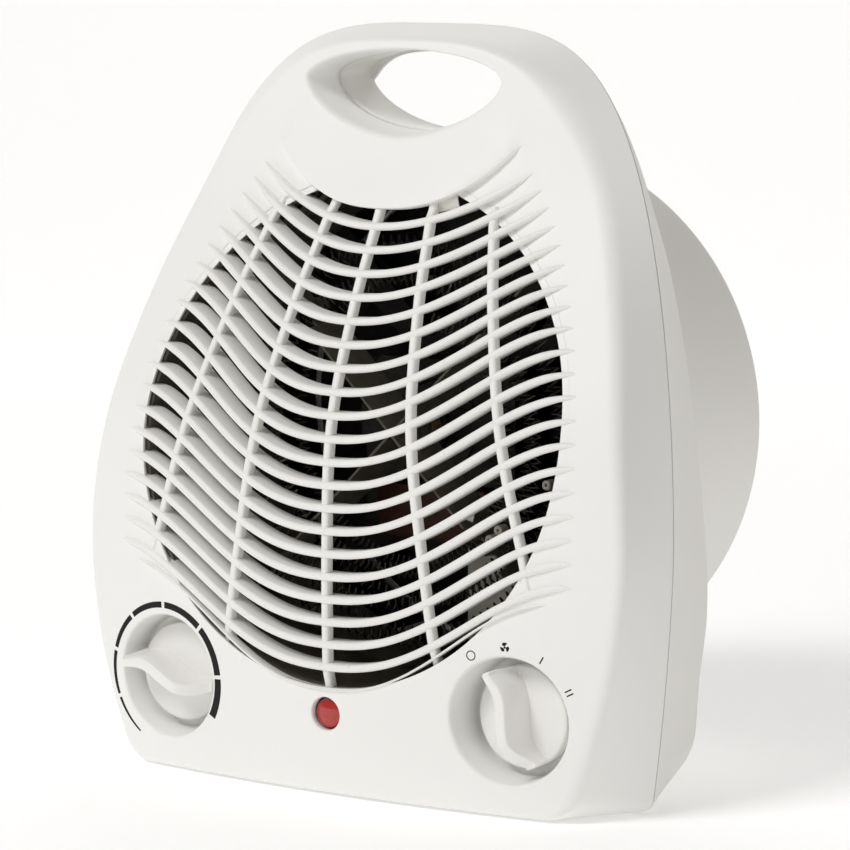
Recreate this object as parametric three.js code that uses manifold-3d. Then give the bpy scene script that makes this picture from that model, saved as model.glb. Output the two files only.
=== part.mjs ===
// An upright fan convector heater: a two-shell housing with a carrying-hand hole, a slatted air
// outlet, two dials in round recesses, a pilot lamp, and a heating element, fan and motor inside.
// Millimetres. The front faces -Y, +X is to the right as seen from the front, +Z is up, and the
// origin is on the floor below the middle of the bounding box.
import * as THREE from "three";
import { mergeVertices } from "three/addons/utils/BufferGeometryUtils.js";
import Module from "manifold-3d";

const wasm = await Module();
wasm.setup();

// Driving dimensions.
const GAP = 0.3; // between pieces that touch on the real heater
const WALL = 2.6; // shell thickness
const BASE_Z = 1; // underside of the shells, just above the feet
const CENTRE_SHIFT_Y = 1.175; // puts the bounding box's middle over the origin
// Outlines seen from the front: half width at the belly height, with a superelliptic top.
const FACE_EDGE = { half: 105.9, belly: 85, top: 246, tuck: 20, rise: 1.4, round: 0.33, corner: 8 };
const SEAM = { half: 107.3, belly: 77, top: 250, tuck: 5.4, rise: 1.6, round: 0.27, corner: 4 };
const BACK = { half: 100.2, belly: 67, top: 245, tuck: 3.4, rise: 1.35, round: 0.3, corner: 14 };
const BACK_BASE_Z = 8;
const SHELL_CENTRE_Z = 114; // rings of the shells are scaled about this height
// Depth of the front face on its middle line, as [z, y].
const FACE_PROFILE = [
  [0, -62.4],
  [40, -64.1],
  [80, -63.2],
  [120, -57.9],
  [160, -43],
  [200, -26],
  [245, -18.3],
];
const FACE_SWEEP = 0.000918; // how fast the face falls back sideways, per mm squared
const OUTLET = { r: 81.8, z: 118.3 };
const COLLAR = { inner: 82.8, outer: 84.3, back: -17 };
const LIP = { z: 190, rise: 21, x: 47.4, power: 2.4, crossX: 27.4 };
const HAND_HOLE = { half: 38, z: 232, down: 18, up: 10, downPower: 1.7, upPower: 1.9 };
const DRUM = { r: 90.7, z: 115.3, rear: 63.1 };
const DIAL = { x: 67.8, z: 32.2, bowlR: 20.6, bowlDepth: 14, knobR: 16.6, knobInset: 8.6 };
const MODE_REST = -20; // degrees clockwise from the top
const THERMOSTAT_REST = -76;
const LAMP = { z: 27.7, r: 5 };
const SLATS = { count: 20, topZ: 184.8, pitch: 7.45, thick: 2.3, depth: 8.4 };
const FAN = { r: 82, blades: 6, y: 40 };

const rad = THREE.MathUtils.degToRad;
const V = (x, y, z) => new THREE.Vector3(x, y, z);

// ---------------------------------------------------------------- solids
function solid(geometry) {
  const bare = new THREE.BufferGeometry();
  bare.setAttribute("position", geometry.getAttribute("position").clone());
  bare.setIndex(geometry.index);
  const merged = mergeVertices(bare, 1e-4);
  const triangles = [];
  for (let i = 0; i < merged.index.count; i += 3) {
    const [a, b, c] = [0, 1, 2].map((k) => merged.index.getX(i + k));
    if (a !== b && b !== c && c !== a) triangles.push(a, b, c);
  }
  const build = (triVerts) =>
    new wasm.Manifold(
      new wasm.Mesh({
        numProp: 3,
        vertProperties: merged.attributes.position.array,
        triVerts: new Uint32Array(triVerts),
      }),
    );
  const made = build(triangles);
  return made.volume() < 0 ? build(triangles.reverse()) : made;
}

function geometryOf(body) {
  const mesh = body.getMesh();
  const geometry = new THREE.BufferGeometry();
  geometry.setAttribute("position", new THREE.BufferAttribute(mesh.vertProperties, 3));
  geometry.setIndex(new THREE.BufferAttribute(mesh.triVerts, 1));
  geometry.computeVertexNormals();
  return geometry;
}

// Skins a row of equal rings; the ends are closed with fans, or joined when `closed`.
function loft(rings, closed = false) {
  const n = rings[0].length;
  const points = rings.flat();
  const index = [];
  const spans = closed ? rings.length : rings.length - 1;
  for (let i = 0; i < spans; i++) {
    const a = i * n;
    const b = ((i + 1) % rings.length) * n;
    for (let j = 0; j < n; j++) {
      const k = (j + 1) % n;
      index.push(a + j, b + j, b + k, a + j, b + k, a + k);
    }
  }
  if (!closed) {
    for (const [ring, start, flip] of [
      [rings[0], 0, true],
      [rings.at(-1), (rings.length - 1) * n, false],
    ]) {
      const middle = ring.reduce((sum, p) => sum.add(p), V(0, 0, 0)).divideScalar(n);
      points.push(middle);
      for (let j = 0; j < n; j++) {
        const [p, q] = flip ? [(j + 1) % n, j] : [j, (j + 1) % n];
        index.push(points.length - 1, start + q, start + p);
      }
    }
  }
  const geometry = new THREE.BufferGeometry().setFromPoints(points);
  geometry.setIndex(index);
  return solid(geometry);
}

// A cylinder along Y from y0 to y1.
function disc(r, y0, y1, x = 0, z = 0, sides = 24) {
  const geometry = new THREE.CylinderGeometry(r, r, y1 - y0, sides);
  return solid(geometry.translate(x, (y0 + y1) / 2, z));
}

// A ring about Y with a rectangular section.
function ring(rIn, rOut, y0, y1, x = 0, z = 0, sides = 40) {
  const profile = [
    [rIn, y0],
    [rOut, y0],
    [rOut, y1],
    [rIn, y1],
    [rIn, y0],
  ];
  return turned(profile, x, z, sides);
}

// Revolves [radius, y] points about Y.
function turned(profile, x = 0, z = 0, sides = 24) {
  const points = profile.map(([r, y]) => new THREE.Vector2(r, y));
  return solid(new THREE.LatheGeometry(points, sides).translate(x, 0, z));
}

function box(x0, x1, y0, y1, z0, z1) {
  const geometry = new THREE.BoxGeometry(x1 - x0, y1 - y0, z1 - z0);
  return solid(geometry.translate((x0 + x1) / 2, (y0 + y1) / 2, (z0 + z1) / 2));
}

// A shape drawn in X and Z, standing from y0 to y1.
function plate(shape, y0, y1, curveSegments = 8) {
  const options = { depth: y1 - y0, bevelEnabled: false, curveSegments };
  return solid(new THREE.ExtrudeGeometry(shape, options).rotateX(Math.PI / 2).translate(0, y1, 0));
}

function polygon(points) {
  return new THREE.Shape(points.map(([x, z]) => new THREE.Vector2(x, z)));
}

// A round wire through the points.
function tube(points, r, steps, sides = 6) {
  const path = new THREE.CatmullRomCurve3(points.map(([x, y, z]) => V(x, y, z)));
  const section = polygon(
    Array.from({ length: sides }, (_, i) => {
      const a = (2 * Math.PI * i) / sides;
      return [r * Math.cos(a), r * Math.sin(a)];
    }),
  );
  return solid(new THREE.ExtrudeGeometry(section, { steps, extrudePath: path }));
}

const turnedAbout = (body, degrees, x, z) =>
  body.translate([-x, 0, -z]).rotate([0, degrees, 0]).translate([x, 0, z]);

// ---------------------------------------------------------------- shared surfaces
// A smooth cubic through the [z, y] knots.
function splineAt(knots, z) {
  let i = knots.findIndex((knot) => knot[0] > z) - 1;
  if (i < 0) i = z < knots[0][0] ? 0 : knots.length - 2;
  const slope = (k) => {
    const a = knots[Math.max(k - 1, 0)];
    const b = knots[Math.min(k + 1, knots.length - 1)];
    return (b[1] - a[1]) / (b[0] - a[0]);
  };
  const [z0, y0] = knots[i];
  const [z1, y1] = knots[i + 1];
  const h = z1 - z0;
  const t = (z - z0) / h;
  const rise = (t * t * (3 - 2 * t)) * (y1 - y0);
  return y0 + rise + h * t * (1 - t) * ((1 - t) * slope(i) - t * slope(i + 1));
}

const faceY = (x, z) => splineAt(FACE_PROFILE, z) + FACE_SWEEP * x * x;
const SEAM_LEAN = { low: -27, rise: 30 }; // the seam and the back lean with the square of height
const BACK_LEAN = { low: 13, rise: 9 };
const leaning = ({ low, rise }, z) => low + rise * (z / SEAM.top) ** 2;
const seamY = (z) => leaning(SEAM_LEAN, z);
const backY = (z) => leaning(BACK_LEAN, z);

function halfWidth(o, z) {
  if (z <= o.belly) return o.half - o.tuck * ((o.belly - z) / o.belly) ** 2;
  const climb = Math.min((z - o.belly) / (o.top - o.belly), 1);
  return o.half * (1 - climb ** o.rise) ** o.round;
}

const BOTTOM_STEPS = 2;
const SIDE_STEPS = 18;
// The outline as [x, z] from the middle of the base, up the right side and down the left.
function outline(o, base) {
  const right = [];
  for (let i = 0; i < BOTTOM_STEPS; i++) {
    right.push([((halfWidth(o, base) - o.corner) * i) / BOTTOM_STEPS, base]);
  }
  for (let j = 0; j <= SIDE_STEPS; j++) {
    const z = base + ((o.top - base) * (1 - Math.cos((Math.PI * j) / SIDE_STEPS))) / 2;
    const below = Math.max(o.corner - (z - base), 0);
    const cut = o.corner - Math.sqrt(o.corner ** 2 - below ** 2);
    right.push([Math.max(halfWidth(o, z) - cut, 0), z]);
  }
  const left = right
    .slice(1, -1)
    .reverse()
    .map(([x, z]) => [-x, z]);
  return [...right, ...left];
}

const nearer = (z, s) => SHELL_CENTRE_Z + (z - SHELL_CENTRE_Z) * s;
const scaled = (points, s) => points.map(([x, z]) => [x * s, nearer(z, s)]);
const onSurface = (points, y) => points.map(([x, z]) => V(x, y(x, z), z));
const blend = (a, b, t) => a.map((p, i) => p.clone().lerp(b[i], t));
const INSET = 1 - WALL / 110;

function handOutline(grow, steps = 7) {
  const points = [];
  for (let i = 0; i < 4 * steps; i++) {
    const a = (2 * Math.PI * i) / (4 * steps);
    const up = Math.sin(a) >= 0;
    const reach = (up ? HAND_HOLE.up : HAND_HOLE.down) + grow;
    const power = up ? HAND_HOLE.upPower : HAND_HOLE.downPower;
    const x = Math.sign(Math.cos(a)) * Math.abs(Math.cos(a)) ** (2 / power);
    const z = Math.sign(Math.sin(a)) * Math.abs(Math.sin(a)) ** (2 / power);
    points.push([x * (HAND_HOLE.half + grow), HAND_HOLE.z + z * reach]);
  }
  return points;
}

const handTunnel = () => plate(polygon(handOutline(0)), -60, 60);
function handSleeve(y0, y1) {
  const rim = handOutline(WALL);
  return loft([onSurface(rim, y0), onSurface(rim, y1)]);
}

// ---------------------------------------------------------------- screws between the shells
const SCREWS = [
  { name: "left_top", x: -54, z: 209 },
  { name: "right_top", x: 54, z: 209 },
  { name: "left_middle", x: -91, z: 100 },
  { name: "right_middle", x: 91, z: 100 },
  { name: "left_bottom", x: -62, z: 13.6 },
  { name: "right_bottom", x: 62, z: 13.6 },
];
const BOSS_R = 3.8;
const SHANK_R = 1.5;
const HEAD = { r: 3, long: 2.4, depth: 12 }; // the head sits this far below the back

const headSeat = ({ z }) => backY(z) - HEAD.depth;

function screw(place) {
  const seat = headSeat(place) + GAP;
  const tip = seamY(place.z) - 10;
  const profile = [
    [0, tip],
    [SHANK_R, tip + 2],
    [SHANK_R, seat],
    [HEAD.r, seat],
    [HEAD.r, seat + HEAD.long],
    [0, seat + HEAD.long],
  ];
  return turned(profile, place.x, place.z, 12);
}

// ---------------------------------------------------------------- front cover
function outletCutter() {
  const shape = new THREE.Shape();
  const crossZ = OUTLET.z + Math.sqrt(OUTLET.r ** 2 - LIP.crossX ** 2);
  const from = Math.atan2(crossZ - OUTLET.z, LIP.crossX);
  shape.absarc(0, OUTLET.z, OUTLET.r, from, Math.PI - from, true);
  for (let x = -24; x <= 24; x += 8) {
    shape.lineTo(x, LIP.z + LIP.rise * Math.abs(x / LIP.x) ** LIP.power);
  }
  return plate(shape, -90, -5, 20);
}

function frontCover() {
  const edge = outline(FACE_EDGE, BASE_Z);
  const seam = onSurface(outline(SEAM, BASE_Z), (x, z) => seamY(z));
  const sharp = onSurface(edge, faceY);
  const back = (points, d) => points.map((p) => V(p.x, p.y + d, p.z));
  const shrink = (points) => points.map((p) => V(p.x * INSET, p.y, nearer(p.z, INSET)));
  const face = [0.3, 0.68, 0.955].map((s) => onSurface(scaled(edge, s), faceY));
  const rounded = back(sharp, 1.2).map((p) => V(p.x * 0.99, p.y, nearer(p.z, 0.995)));
  const side = [0.14, 0.55, 1].map((t) => blend(sharp, seam, t));
  const outer = [...face, rounded, ...side];
  const inner = [
    shrink(side[2]),
    shrink(side[1]),
    shrink(side[0]),
    ...face
      .slice()
      .reverse()
      .map((points) => back(shrink(points), WALL)),
  ];
  let cover = loft([...outer, ...inner]);
  cover = cover.add(handSleeve((x, z) => faceY(x, z) + 1.2, (x, z) => seamY(z)));
  // A collar behind the outlet leads the air from the heater duct to the slats.
  const collar = [];
  for (let i = 0; i < 32; i++) {
    const a = (2 * Math.PI * i) / 32;
    const at = (r, y) => {
      const x = r * Math.sin(a);
      const z = OUTLET.z + r * Math.cos(a);
      return V(x, y ?? faceY(x, z) + 1.6, z);
    };
    const { inner, outer, back: end } = COLLAR;
    collar.push([at(inner), at(outer), at(outer, end), at(inner, end)]);
  }
  cover = cover.add(loft(collar, true));
  for (const side of [-1, 1]) {
    const x = side * DIAL.x;
    const rim = faceY(DIAL.x, DIAL.z);
    cover = cover.add(disc(DIAL.bowlR + 2, rim + 4, rim + DIAL.bowlDepth + 2.2, x, DIAL.z, 24));
    cover = cover.subtract(disc(DIAL.bowlR, rim - 20, rim + DIAL.bowlDepth, x, DIAL.z, 24));
    cover = cover.subtract(disc(3.6, rim, rim + 20, x, DIAL.z, 12));
  }
  for (const place of SCREWS) {
    const { x, z } = place;
    const start = faceY(Math.abs(x), z) + 1.5;
    const low = z < DIAL.z;
    const bossStart = low ? seamY(z) - 13 : start;
    cover = cover.add(disc(BOSS_R, bossStart, seamY(z), x, z, 12));
    if (low) cover = cover.add(box(x - 1.2, x + 1.2, bossStart, seamY(z) - 1, 2, z));
    cover = cover.subtract(disc(SHANK_R + 0.15, seamY(z) - 11, seamY(z) + 1, x, z, 8));
  }
  cover = cover.subtract(outletCutter());
  cover = cover.subtract(disc(LAMP.r + 0.5, -80, -50, 0, LAMP.z, 20));
  for (const x of [-FRONT_FOOT.x, FRONT_FOOT.x]) {
    cover = cover.subtract(foot(x, FRONT_FOOT.y, FOOT.r + GAP, -1, 8));
  }
  return cover.subtract(handTunnel());
}

// ---------------------------------------------------------------- feet
const FOOT = { r: 6, flange: 8, high: 5.4 };
const FRONT_FOOT = { x: 50, y: -44 };
const REAR_FOOT = { x: 40, y: 38 };

function foot(x, y, r, z0, z1) {
  const geometry = new THREE.CylinderGeometry(r, r, z1 - z0, 16).rotateX(Math.PI / 2);
  return solid(geometry.translate(x, y, (z0 + z1) / 2));
}

const frontFoot = (x) =>
  foot(x, FRONT_FOOT.y, FOOT.r, 0, 4.2).add(foot(x, FRONT_FOOT.y, FOOT.flange, 4.1, FOOT.high));
const rearFoot = (x) => foot(x, REAR_FOOT.y, FOOT.r, 0, 4);

// ---------------------------------------------------------------- rear cover with its drum
function rearCover() {
  const seam = onSurface(outline(SEAM, BASE_Z), (x, z) => seamY(z) + GAP + 0.2);
  const rim = outline(BACK, BACK_BASE_Z);
  const side = onSurface(rim, (x, z) => backY(z) - 8);
  const turn = onSurface(scaled(rim, 0.982), (x, z) => backY(z) - 2);
  const flat = [0.93, 0.4].map((s) => onSurface(scaled(rim, s), (x, z) => backY(z)));
  const shrink = (points, d) => points.map((p) => V(p.x * INSET, p.y - d, nearer(p.z, INSET)));
  const outer = [seam, blend(seam, side, 0.5), side, turn, ...flat];
  const inner = outer.map((points, i) => shrink(points, i < 3 ? 0 : WALL));
  let cover = loft([...outer.reverse(), ...inner]);
  cover = cover.add(handSleeve((x, z) => seamY(z) + GAP + 0.2, (x, z) => backY(z) - 1));
  cover = cover.add(ring(84, DRUM.r, 10, DRUM.rear, 0, DRUM.z, 44));
  for (const place of SCREWS) {
    const { x, z } = place;
    cover = cover.add(disc(BOSS_R + 0.9, seamY(z) + GAP + 0.2, backY(z) - 1, x, z, 12));
    cover = cover.subtract(disc(SHANK_R + 0.15, seamY(z), backY(z), x, z, 12));
    cover = cover.subtract(disc(HEAD.r + 0.5, headSeat(place), backY(z) + 5, x, z, 12));
  }
  cover = cover.subtract(disc(DRUM.r - WALL, 0, DRUM.rear + 5, 0, DRUM.z, 44));
  cover = cover.subtract(disc(GLAND.r + GAP, -5, 25, GLAND.x, GLAND.z, 16));
  return cover.subtract(handTunnel());
}

// The two legs under the drum carry the rear feet.
const LEG = { front: 14, back: 47, top: 38, half: 8 };
function rearLeg(x) {
  const section = (y, z1, half) => [
    V(x - half, y, BASE_Z),
    V(x + half, y, BASE_Z),
    V(x + half, y, z1),
    V(x - half, y, z1),
  ];
  const leg = loft([
    section(LEG.front, LEG.top, LEG.half),
    section(LEG.back - 12, LEG.top, LEG.half),
    section(LEG.back, LEG.top, LEG.half - 1),
  ]);
  return leg
    .subtract(disc(DRUM.r + GAP, -10, 80, 0, DRUM.z, 44))
    .subtract(foot(x, REAR_FOOT.y, FOOT.r + GAP, -1, 4 + GAP));
}

// ---------------------------------------------------------------- outlet grille
const BULGE = { high: 5.8, z: 152, spread: 45.6 }; // how far the slats arch out of the face
const bulge = (z) => BULGE.high * Math.exp(-0.5 * ((z - BULGE.z) / BULGE.spread) ** 2);

// Slat i sweeps up sideways from its middle height to its tip.
function slatLine(i) {
  const z0 = SLATS.topZ - SLATS.pitch * i;
  const early = Math.max(1 - i / 16, 0);
  const tipX = 90.2 - 35.6 * early ** 1.8;
  const rise = 33.4 - 13.7 * early ** 2.6;
  const mix = Math.min(i / 8, 1);
  return (x) => {
    const u = Math.min(Math.abs(x) / tipX, 1);
    const bow = Math.sin((Math.PI / 2) * u ** 1.2) ** 2;
    const z = z0 + rise * ((1 - mix) * u * u + mix * bow);
    return { z, y: faceY(x, z) - (bulge(z0) + 0.5) * (1 - u * u) };
  };
}

const GRILLE_R = 80;
const FRAME = { inner: 78.6, outer: 82.4, front: 5.8, back: 8.4 }; // the ring that holds the slats
function slatEnd(line) {
  let x = 0;
  while (Math.hypot(x, line(x).z - OUTLET.z) < GRILLE_R && x < 90) x += 0.25;
  return x;
}

function slat(i) {
  const line = slatLine(i);
  const end = slatEnd(line);
  const half = SLATS.thick / 2;
  const stations = 6;
  const sections = [];
  for (let k = 0; k <= stations; k++) {
    const x = end * (-1 + (2 * k) / stations);
    const { y, z } = line(x);
    sections.push([
      V(x, y, z - half * 0.8),
      V(x, y, z + half * 0.8),
      V(x, y + SLATS.depth, z + half * 0.7),
      V(x, y + SLATS.depth, z - half * 0.7),
    ]);
  }
  return loft(sections);
}

function rib(xAt) {
  const inside = (z) => Math.hypot(xAt(z), z - OUTLET.z) < GRILLE_R - 1.6;
  let low = 60;
  while (!inside(low)) low += 0.5;
  while (inside(low) && low > 37) low -= 0.5;
  let high = low + 1;
  while (inside(high)) high += 0.5;
  const sections = [];
  for (let k = 0; k <= 6; k++) {
    const z = low + (high - low) * (k / 6);
    const x = xAt(z);
    const y = faceY(x, z) - bulge(z) * (1 - (x / 90) ** 2) + SLATS.depth - 1.2;
    sections.push([V(x - 1.3, y, z), V(x + 1.3, y, z), V(x + 1, y + 3.6, z), V(x - 1, y + 3.6, z)]);
  }
  return loft(sections);
}

function frontGrille() {
  const rows = [];
  for (let i = 0; i < 24; i++) {
    const a = (2 * Math.PI * i) / 24;
    const at = (r, d) => {
      const x = r * Math.sin(a);
      const z = OUTLET.z + r * Math.cos(a);
      return V(x, faceY(x, z) + d, z);
    };
    const { inner, outer, front, back } = FRAME;
    rows.push([at(inner, front), at(outer, front), at(outer, back), at(inner, back)]);
  }
  let grille = loft(rows, true);
  const lines = [
    () => 0,
    (z) => 20 + 0.152 * (188 - z),
    (z) => 40.9 + 0.276 * (195.4 - z),
    (z) => -20 - 0.152 * (188 - z),
    (z) => -40.9 - 0.276 * (195.4 - z),
  ];
  for (const line of lines) grille = grille.add(rib(line));
  for (let i = 0; i < SLATS.count; i++) grille = grille.add(slat(i));
  return grille;
}

// ---------------------------------------------------------------- intake grille
function rearGrille() {
  const [y0, y1] = [57, 60];
  let grille = ring(83.6, DRUM.r - WALL - GAP, y0, y1, 0, DRUM.z, 36);
  grille = grille.add(disc(13, y0, y1, 0, DRUM.z, 24));
  for (let r = 24; r < 80; r += 13) {
    grille = grille.add(ring(r - 1.1, r + 1.1, y0 + 0.4, y1 - 0.4, 0, DRUM.z, 24));
  }
  for (let k = 0; k < 6; k++) {
    const spoke = box(-1.2, 1.2, y0 + 0.2, y1 - 0.2, DRUM.z + 10, DRUM.z + 85);
    grille = grille.add(turnedAbout(spoke, 60 * k, 0, DRUM.z));
  }
  return grille;
}

// ---------------------------------------------------------------- dials
const RIM_Y = faceY(DIAL.x, DIAL.z);
const KNOB = {
  face: RIM_Y + DIAL.knobInset,
  back: RIM_Y + DIAL.bowlDepth - 0.8,
  ridge: RIM_Y - 4.7,
};
// Middle line of the grip on a dial that points up, as [across, up].
const GRIP_LINE = [
  [0, 15],
  [1.4, 11.5],
  [2, 8],
  [1.35, 4],
  [0.35, 0.5],
  [-0.55, -3],
  [-1.2, -6],
  [-1.2, -8.2],
  [-0.5, -11],
  [0.4, -14.2],
];
const GRIP_HALF = 2.2;

// The grip is a wavy upright bar across the disc; its upper end shows the setting.
function knob(x, restAngle) {
  const along = GRIP_LINE.map(([across, up]) => new THREE.Vector2(across, up));
  const offset = (side) => along.map((p) => new THREE.Vector2(p.x + side * GRIP_HALF, p.y));
  const grip = new THREE.Shape([...offset(1), ...offset(-1).reverse()]);
  const raised = plate(grip, KNOB.ridge, KNOB.face + 1).translate([x, 0, DIAL.z]);
  const body = disc(DIAL.knobR, KNOB.face, KNOB.back, x, DIAL.z, 32)
    .add(turnedAbout(raised, restAngle, x, DIAL.z))
    .subtract(disc(SPINDLE_R + 0.2, KNOB.face + 1, KNOB.back + 2, x, DIAL.z, 16));
  return body;
}

const SPINDLE_R = 3;
const SWITCH_Y = RIM_Y + DIAL.bowlDepth + 2.2 + GAP;
const spindle = (x) => disc(SPINDLE_R, KNOB.face + 1.5, SWITCH_Y + 12, x, DIAL.z, 16);

// The rotary switch and the thermostat are boxes with a bushing hole for the spindle.
function control(x, w, h, deep) {
  return box(x - w / 2, x + w / 2, SWITCH_Y, SWITCH_Y + deep, DIAL.z - h / 2, DIAL.z + h / 2).subtract(
    disc(SPINDLE_R + 0.1, SWITCH_Y - 1, SWITCH_Y + 13, x, DIAL.z, 24),
  );
}

function terminals(x, count, deep) {
  const back = SWITCH_Y + deep;
  let comb = box(x - 12, x + 12, back + GAP, back + 2, DIAL.z - 2, DIAL.z + 2);
  for (let i = 0; i < count; i++) {
    const at = x - 10 + (20 * i) / (count - 1);
    comb = comb.add(box(at - 0.5, at + 0.5, back + 1, back + 8, DIAL.z - 3, DIAL.z + 3));
  }
  return comb;
}

// ---------------------------------------------------------------- pilot lamp
const LAMP_FACE = faceY(0, LAMP.z);
const lampLens = () =>
  turned(
    [
      [0, LAMP_FACE + 0.4],
      [2.6, LAMP_FACE + 0.9],
      [4.2, LAMP_FACE + 2],
      [LAMP.r, LAMP_FACE + 3.6],
      [LAMP.r, LAMP_FACE + 7],
      [0, LAMP_FACE + 7],
    ],
    0,
    LAMP.z,
    20,
  );
const lampBody = () =>
  turned(
    [
      [0, LAMP_FACE + 7 + GAP],
      [5.8, LAMP_FACE + 7 + GAP],
      [5.8, LAMP_FACE + 10],
      [4.6, LAMP_FACE + 10],
      [4.6, LAMP_FACE + 24],
      [0, LAMP_FACE + 24],
    ],
    0,
    LAMP.z,
    16,
  );

// ---------------------------------------------------------------- heating element
const DUCT_R = 84.5;
const ductRing = () =>
  turned(
    [
      [DUCT_R - 1.5, -16],
      [DUCT_R, -16],
      [DUCT_R, 7],
      [DUCT_R + 1.6, 7],
      [DUCT_R + 1.6, 8.5],
      [DUCT_R, 8.5],
      [DUCT_R, 24],
      [DUCT_R - 1.5, 24],
      [DUCT_R - 1.5, -16],
    ],
    0,
    DRUM.z,
    32,
  );

const ELEMENT = { front: -26, back: -5, reach: 79 };
const COIL = { start: 20, turns: 2.6, inner: 41, outer: 71, wire: 2.6 };
const coilRadius = (degrees) =>
  COIL.inner + ((COIL.outer - COIL.inner) * (degrees - COIL.start)) / (360 * COIL.turns);

// A mica blade crosses the duct; the two halves of each crossing are slotted into each other.
function micaBlade(angle, slotFront) {
  const middle = (ELEMENT.front + ELEMENT.back) / 2;
  let blade = box(-ELEMENT.reach, ELEMENT.reach, ELEMENT.front, ELEMENT.back, DRUM.z - 0.5, DRUM.z + 0.5);
  const slot = slotFront
    ? [ELEMENT.front - 1, middle + GAP]
    : [middle - GAP, ELEMENT.back + 1];
  blade = blade.subtract(box(-1.4, 1.4, slot[0], slot[1], DRUM.z - 2, DRUM.z + 2));
  for (const [side, first] of [
    [1, 90 + angle],
    [-1, 270 + angle],
  ]) {
    for (let a = first % 360; a < COIL.start + 360 * COIL.turns; a += 360) {
      if (a < COIL.start) continue;
      const x = side * coilRadius(a);
      const half = COIL.wire + 1.4;
      blade = blade.subtract(box(x - half, x + half, ELEMENT.front - 1, ELEMENT.front + 6.4, 0, 300));
      blade = blade.subtract(box(x - half, x + half, ELEMENT.back - 6.4, ELEMENT.back + 1, 0, 300));
    }
  }
  return turnedAbout(blade, angle, 0, DRUM.z);
}

// A nichrome winding lies in the notches as an open spiral.
function heatingCoil(y) {
  const points = [];
  for (let k = 0; k <= 36; k++) {
    const degrees = COIL.start + (360 * COIL.turns * k) / 36;
    const r = coilRadius(degrees);
    points.push([r * Math.sin(rad(degrees)), y, DRUM.z + r * Math.cos(rad(degrees))]);
  }
  return tube(points, COIL.wire, 46, 5);
}

// ---------------------------------------------------------------- fan and motor
const AXIS_Z = DRUM.z;
const SHAFT_R = 2.5;
function impeller() {
  let wheel = turned(
    [
      [0, FAN.y - 7],
      [14, FAN.y - 7],
      [14, FAN.y + 4],
      [10, FAN.y + 7],
      [0, FAN.y + 7],
    ],
    0,
    AXIS_Z,
    24,
  );
  for (let k = 0; k < FAN.blades; k++) {
    const sections = [];
    for (let i = 0; i <= 4; i++) {
      const t = i / 4;
      const r = 11 + (FAN.r - 12) * t;
      const half = 11 + 9 * t;
      const pitch = rad(48 - 22 * t);
      const [c, s] = [Math.cos(pitch), Math.sin(pitch)];
      const corner = (u, v) => V(u * c - v * s, FAN.y - 0.5 + (u * s + v * c) * 0.9, AXIS_Z + r);
      sections.push([
        corner(-half, -0.7),
        corner(half, -0.7),
        corner(half, 0.7),
        corner(-half, 0.7),
      ]);
    }
    wheel = wheel.add(turnedAbout(loft(sections), (360 / FAN.blades) * k, 0, AXIS_Z));
  }
  return wheel.subtract(disc(SHAFT_R + 0.2, FAN.y - 20, FAN.y + 20, 0, AXIS_Z, 16));
}

const MOTOR = { front: 4, back: 22, rotorR: 15 };
function stator() {
  const outline = polygon([
    [-30, -44],
    [30, -44],
    [30, 16],
    [24, 22],
    [-24, 22],
    [-30, 16],
  ]);
  const [y0, y1] = [MOTOR.front - 1, MOTOR.back + 1];
  return plate(outline, MOTOR.front, MOTOR.back)
    .subtract(disc(MOTOR.rotorR + 0.5, y0, y1, 0, 0, 24))
    .subtract(box(9, 22, y0, y1, -39, -20))
    .subtract(box(-22, -9, y0, y1, -39, -20))
    .translate([0, 0, AXIS_Z]);
}
const winding = () =>
  box(-21.4, 21.4, MOTOR.front - 6, MOTOR.back + 5, -38.4, -20.6)
    .subtract(box(-9.3, 9.3, MOTOR.front - GAP, MOTOR.back + GAP, -50, 0))
    .translate([0, 0, AXIS_Z]);

// A bearing strap spans the stator, with a raised cup in the middle for the bearing.
function strap(y, towards) {
  const flat = box(-28, 28, y - 0.8, y + 0.8, AXIS_Z - 6, AXIS_Z + 6);
  const ends = [-1, 1].map((s) => {
    const x = s * 25.5;
    const reach = [y, y + towards * 4.5].sort((a, b) => a - b);
    return box(x - 2.5, x + 2.5, reach[0], reach[1], AXIS_Z - 6, AXIS_Z + 6);
  });
  return flat
    .add(ends[0])
    .add(ends[1])
    .add(disc(8.5, y - 2.8, y + 2.8, 0, AXIS_Z, 20))
    .subtract(disc(6.3, y - 5, y + 5, 0, AXIS_Z, 20));
}
const bearing = (y) => ring(SHAFT_R + 0.1, 6, y - 3.2, y + 3.2, 0, AXIS_Z, 24);
const STRAP_FRONT = MOTOR.front - 5;
const STRAP_BACK = MOTOR.back + 5;
const shaft = () => disc(SHAFT_R, STRAP_FRONT - 3.6, FAN.y + 12.5, 0, AXIS_Z, 24);
const rotor = () =>
  disc(MOTOR.rotorR, MOTOR.front, MOTOR.back, 0, AXIS_Z, 24).subtract(
    disc(SHAFT_R + 0.2, 0, 60, 0, AXIS_Z, 16),
  );
function fanNut() {
  const geometry = new THREE.CylinderGeometry(5, 5, 4, 6);
  return solid(geometry.translate(0, FAN.y + 7 + GAP + 2, AXIS_Z)).subtract(
    disc(SHAFT_R + 0.2, 0, 80, 0, AXIS_Z, 16),
  );
}

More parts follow.
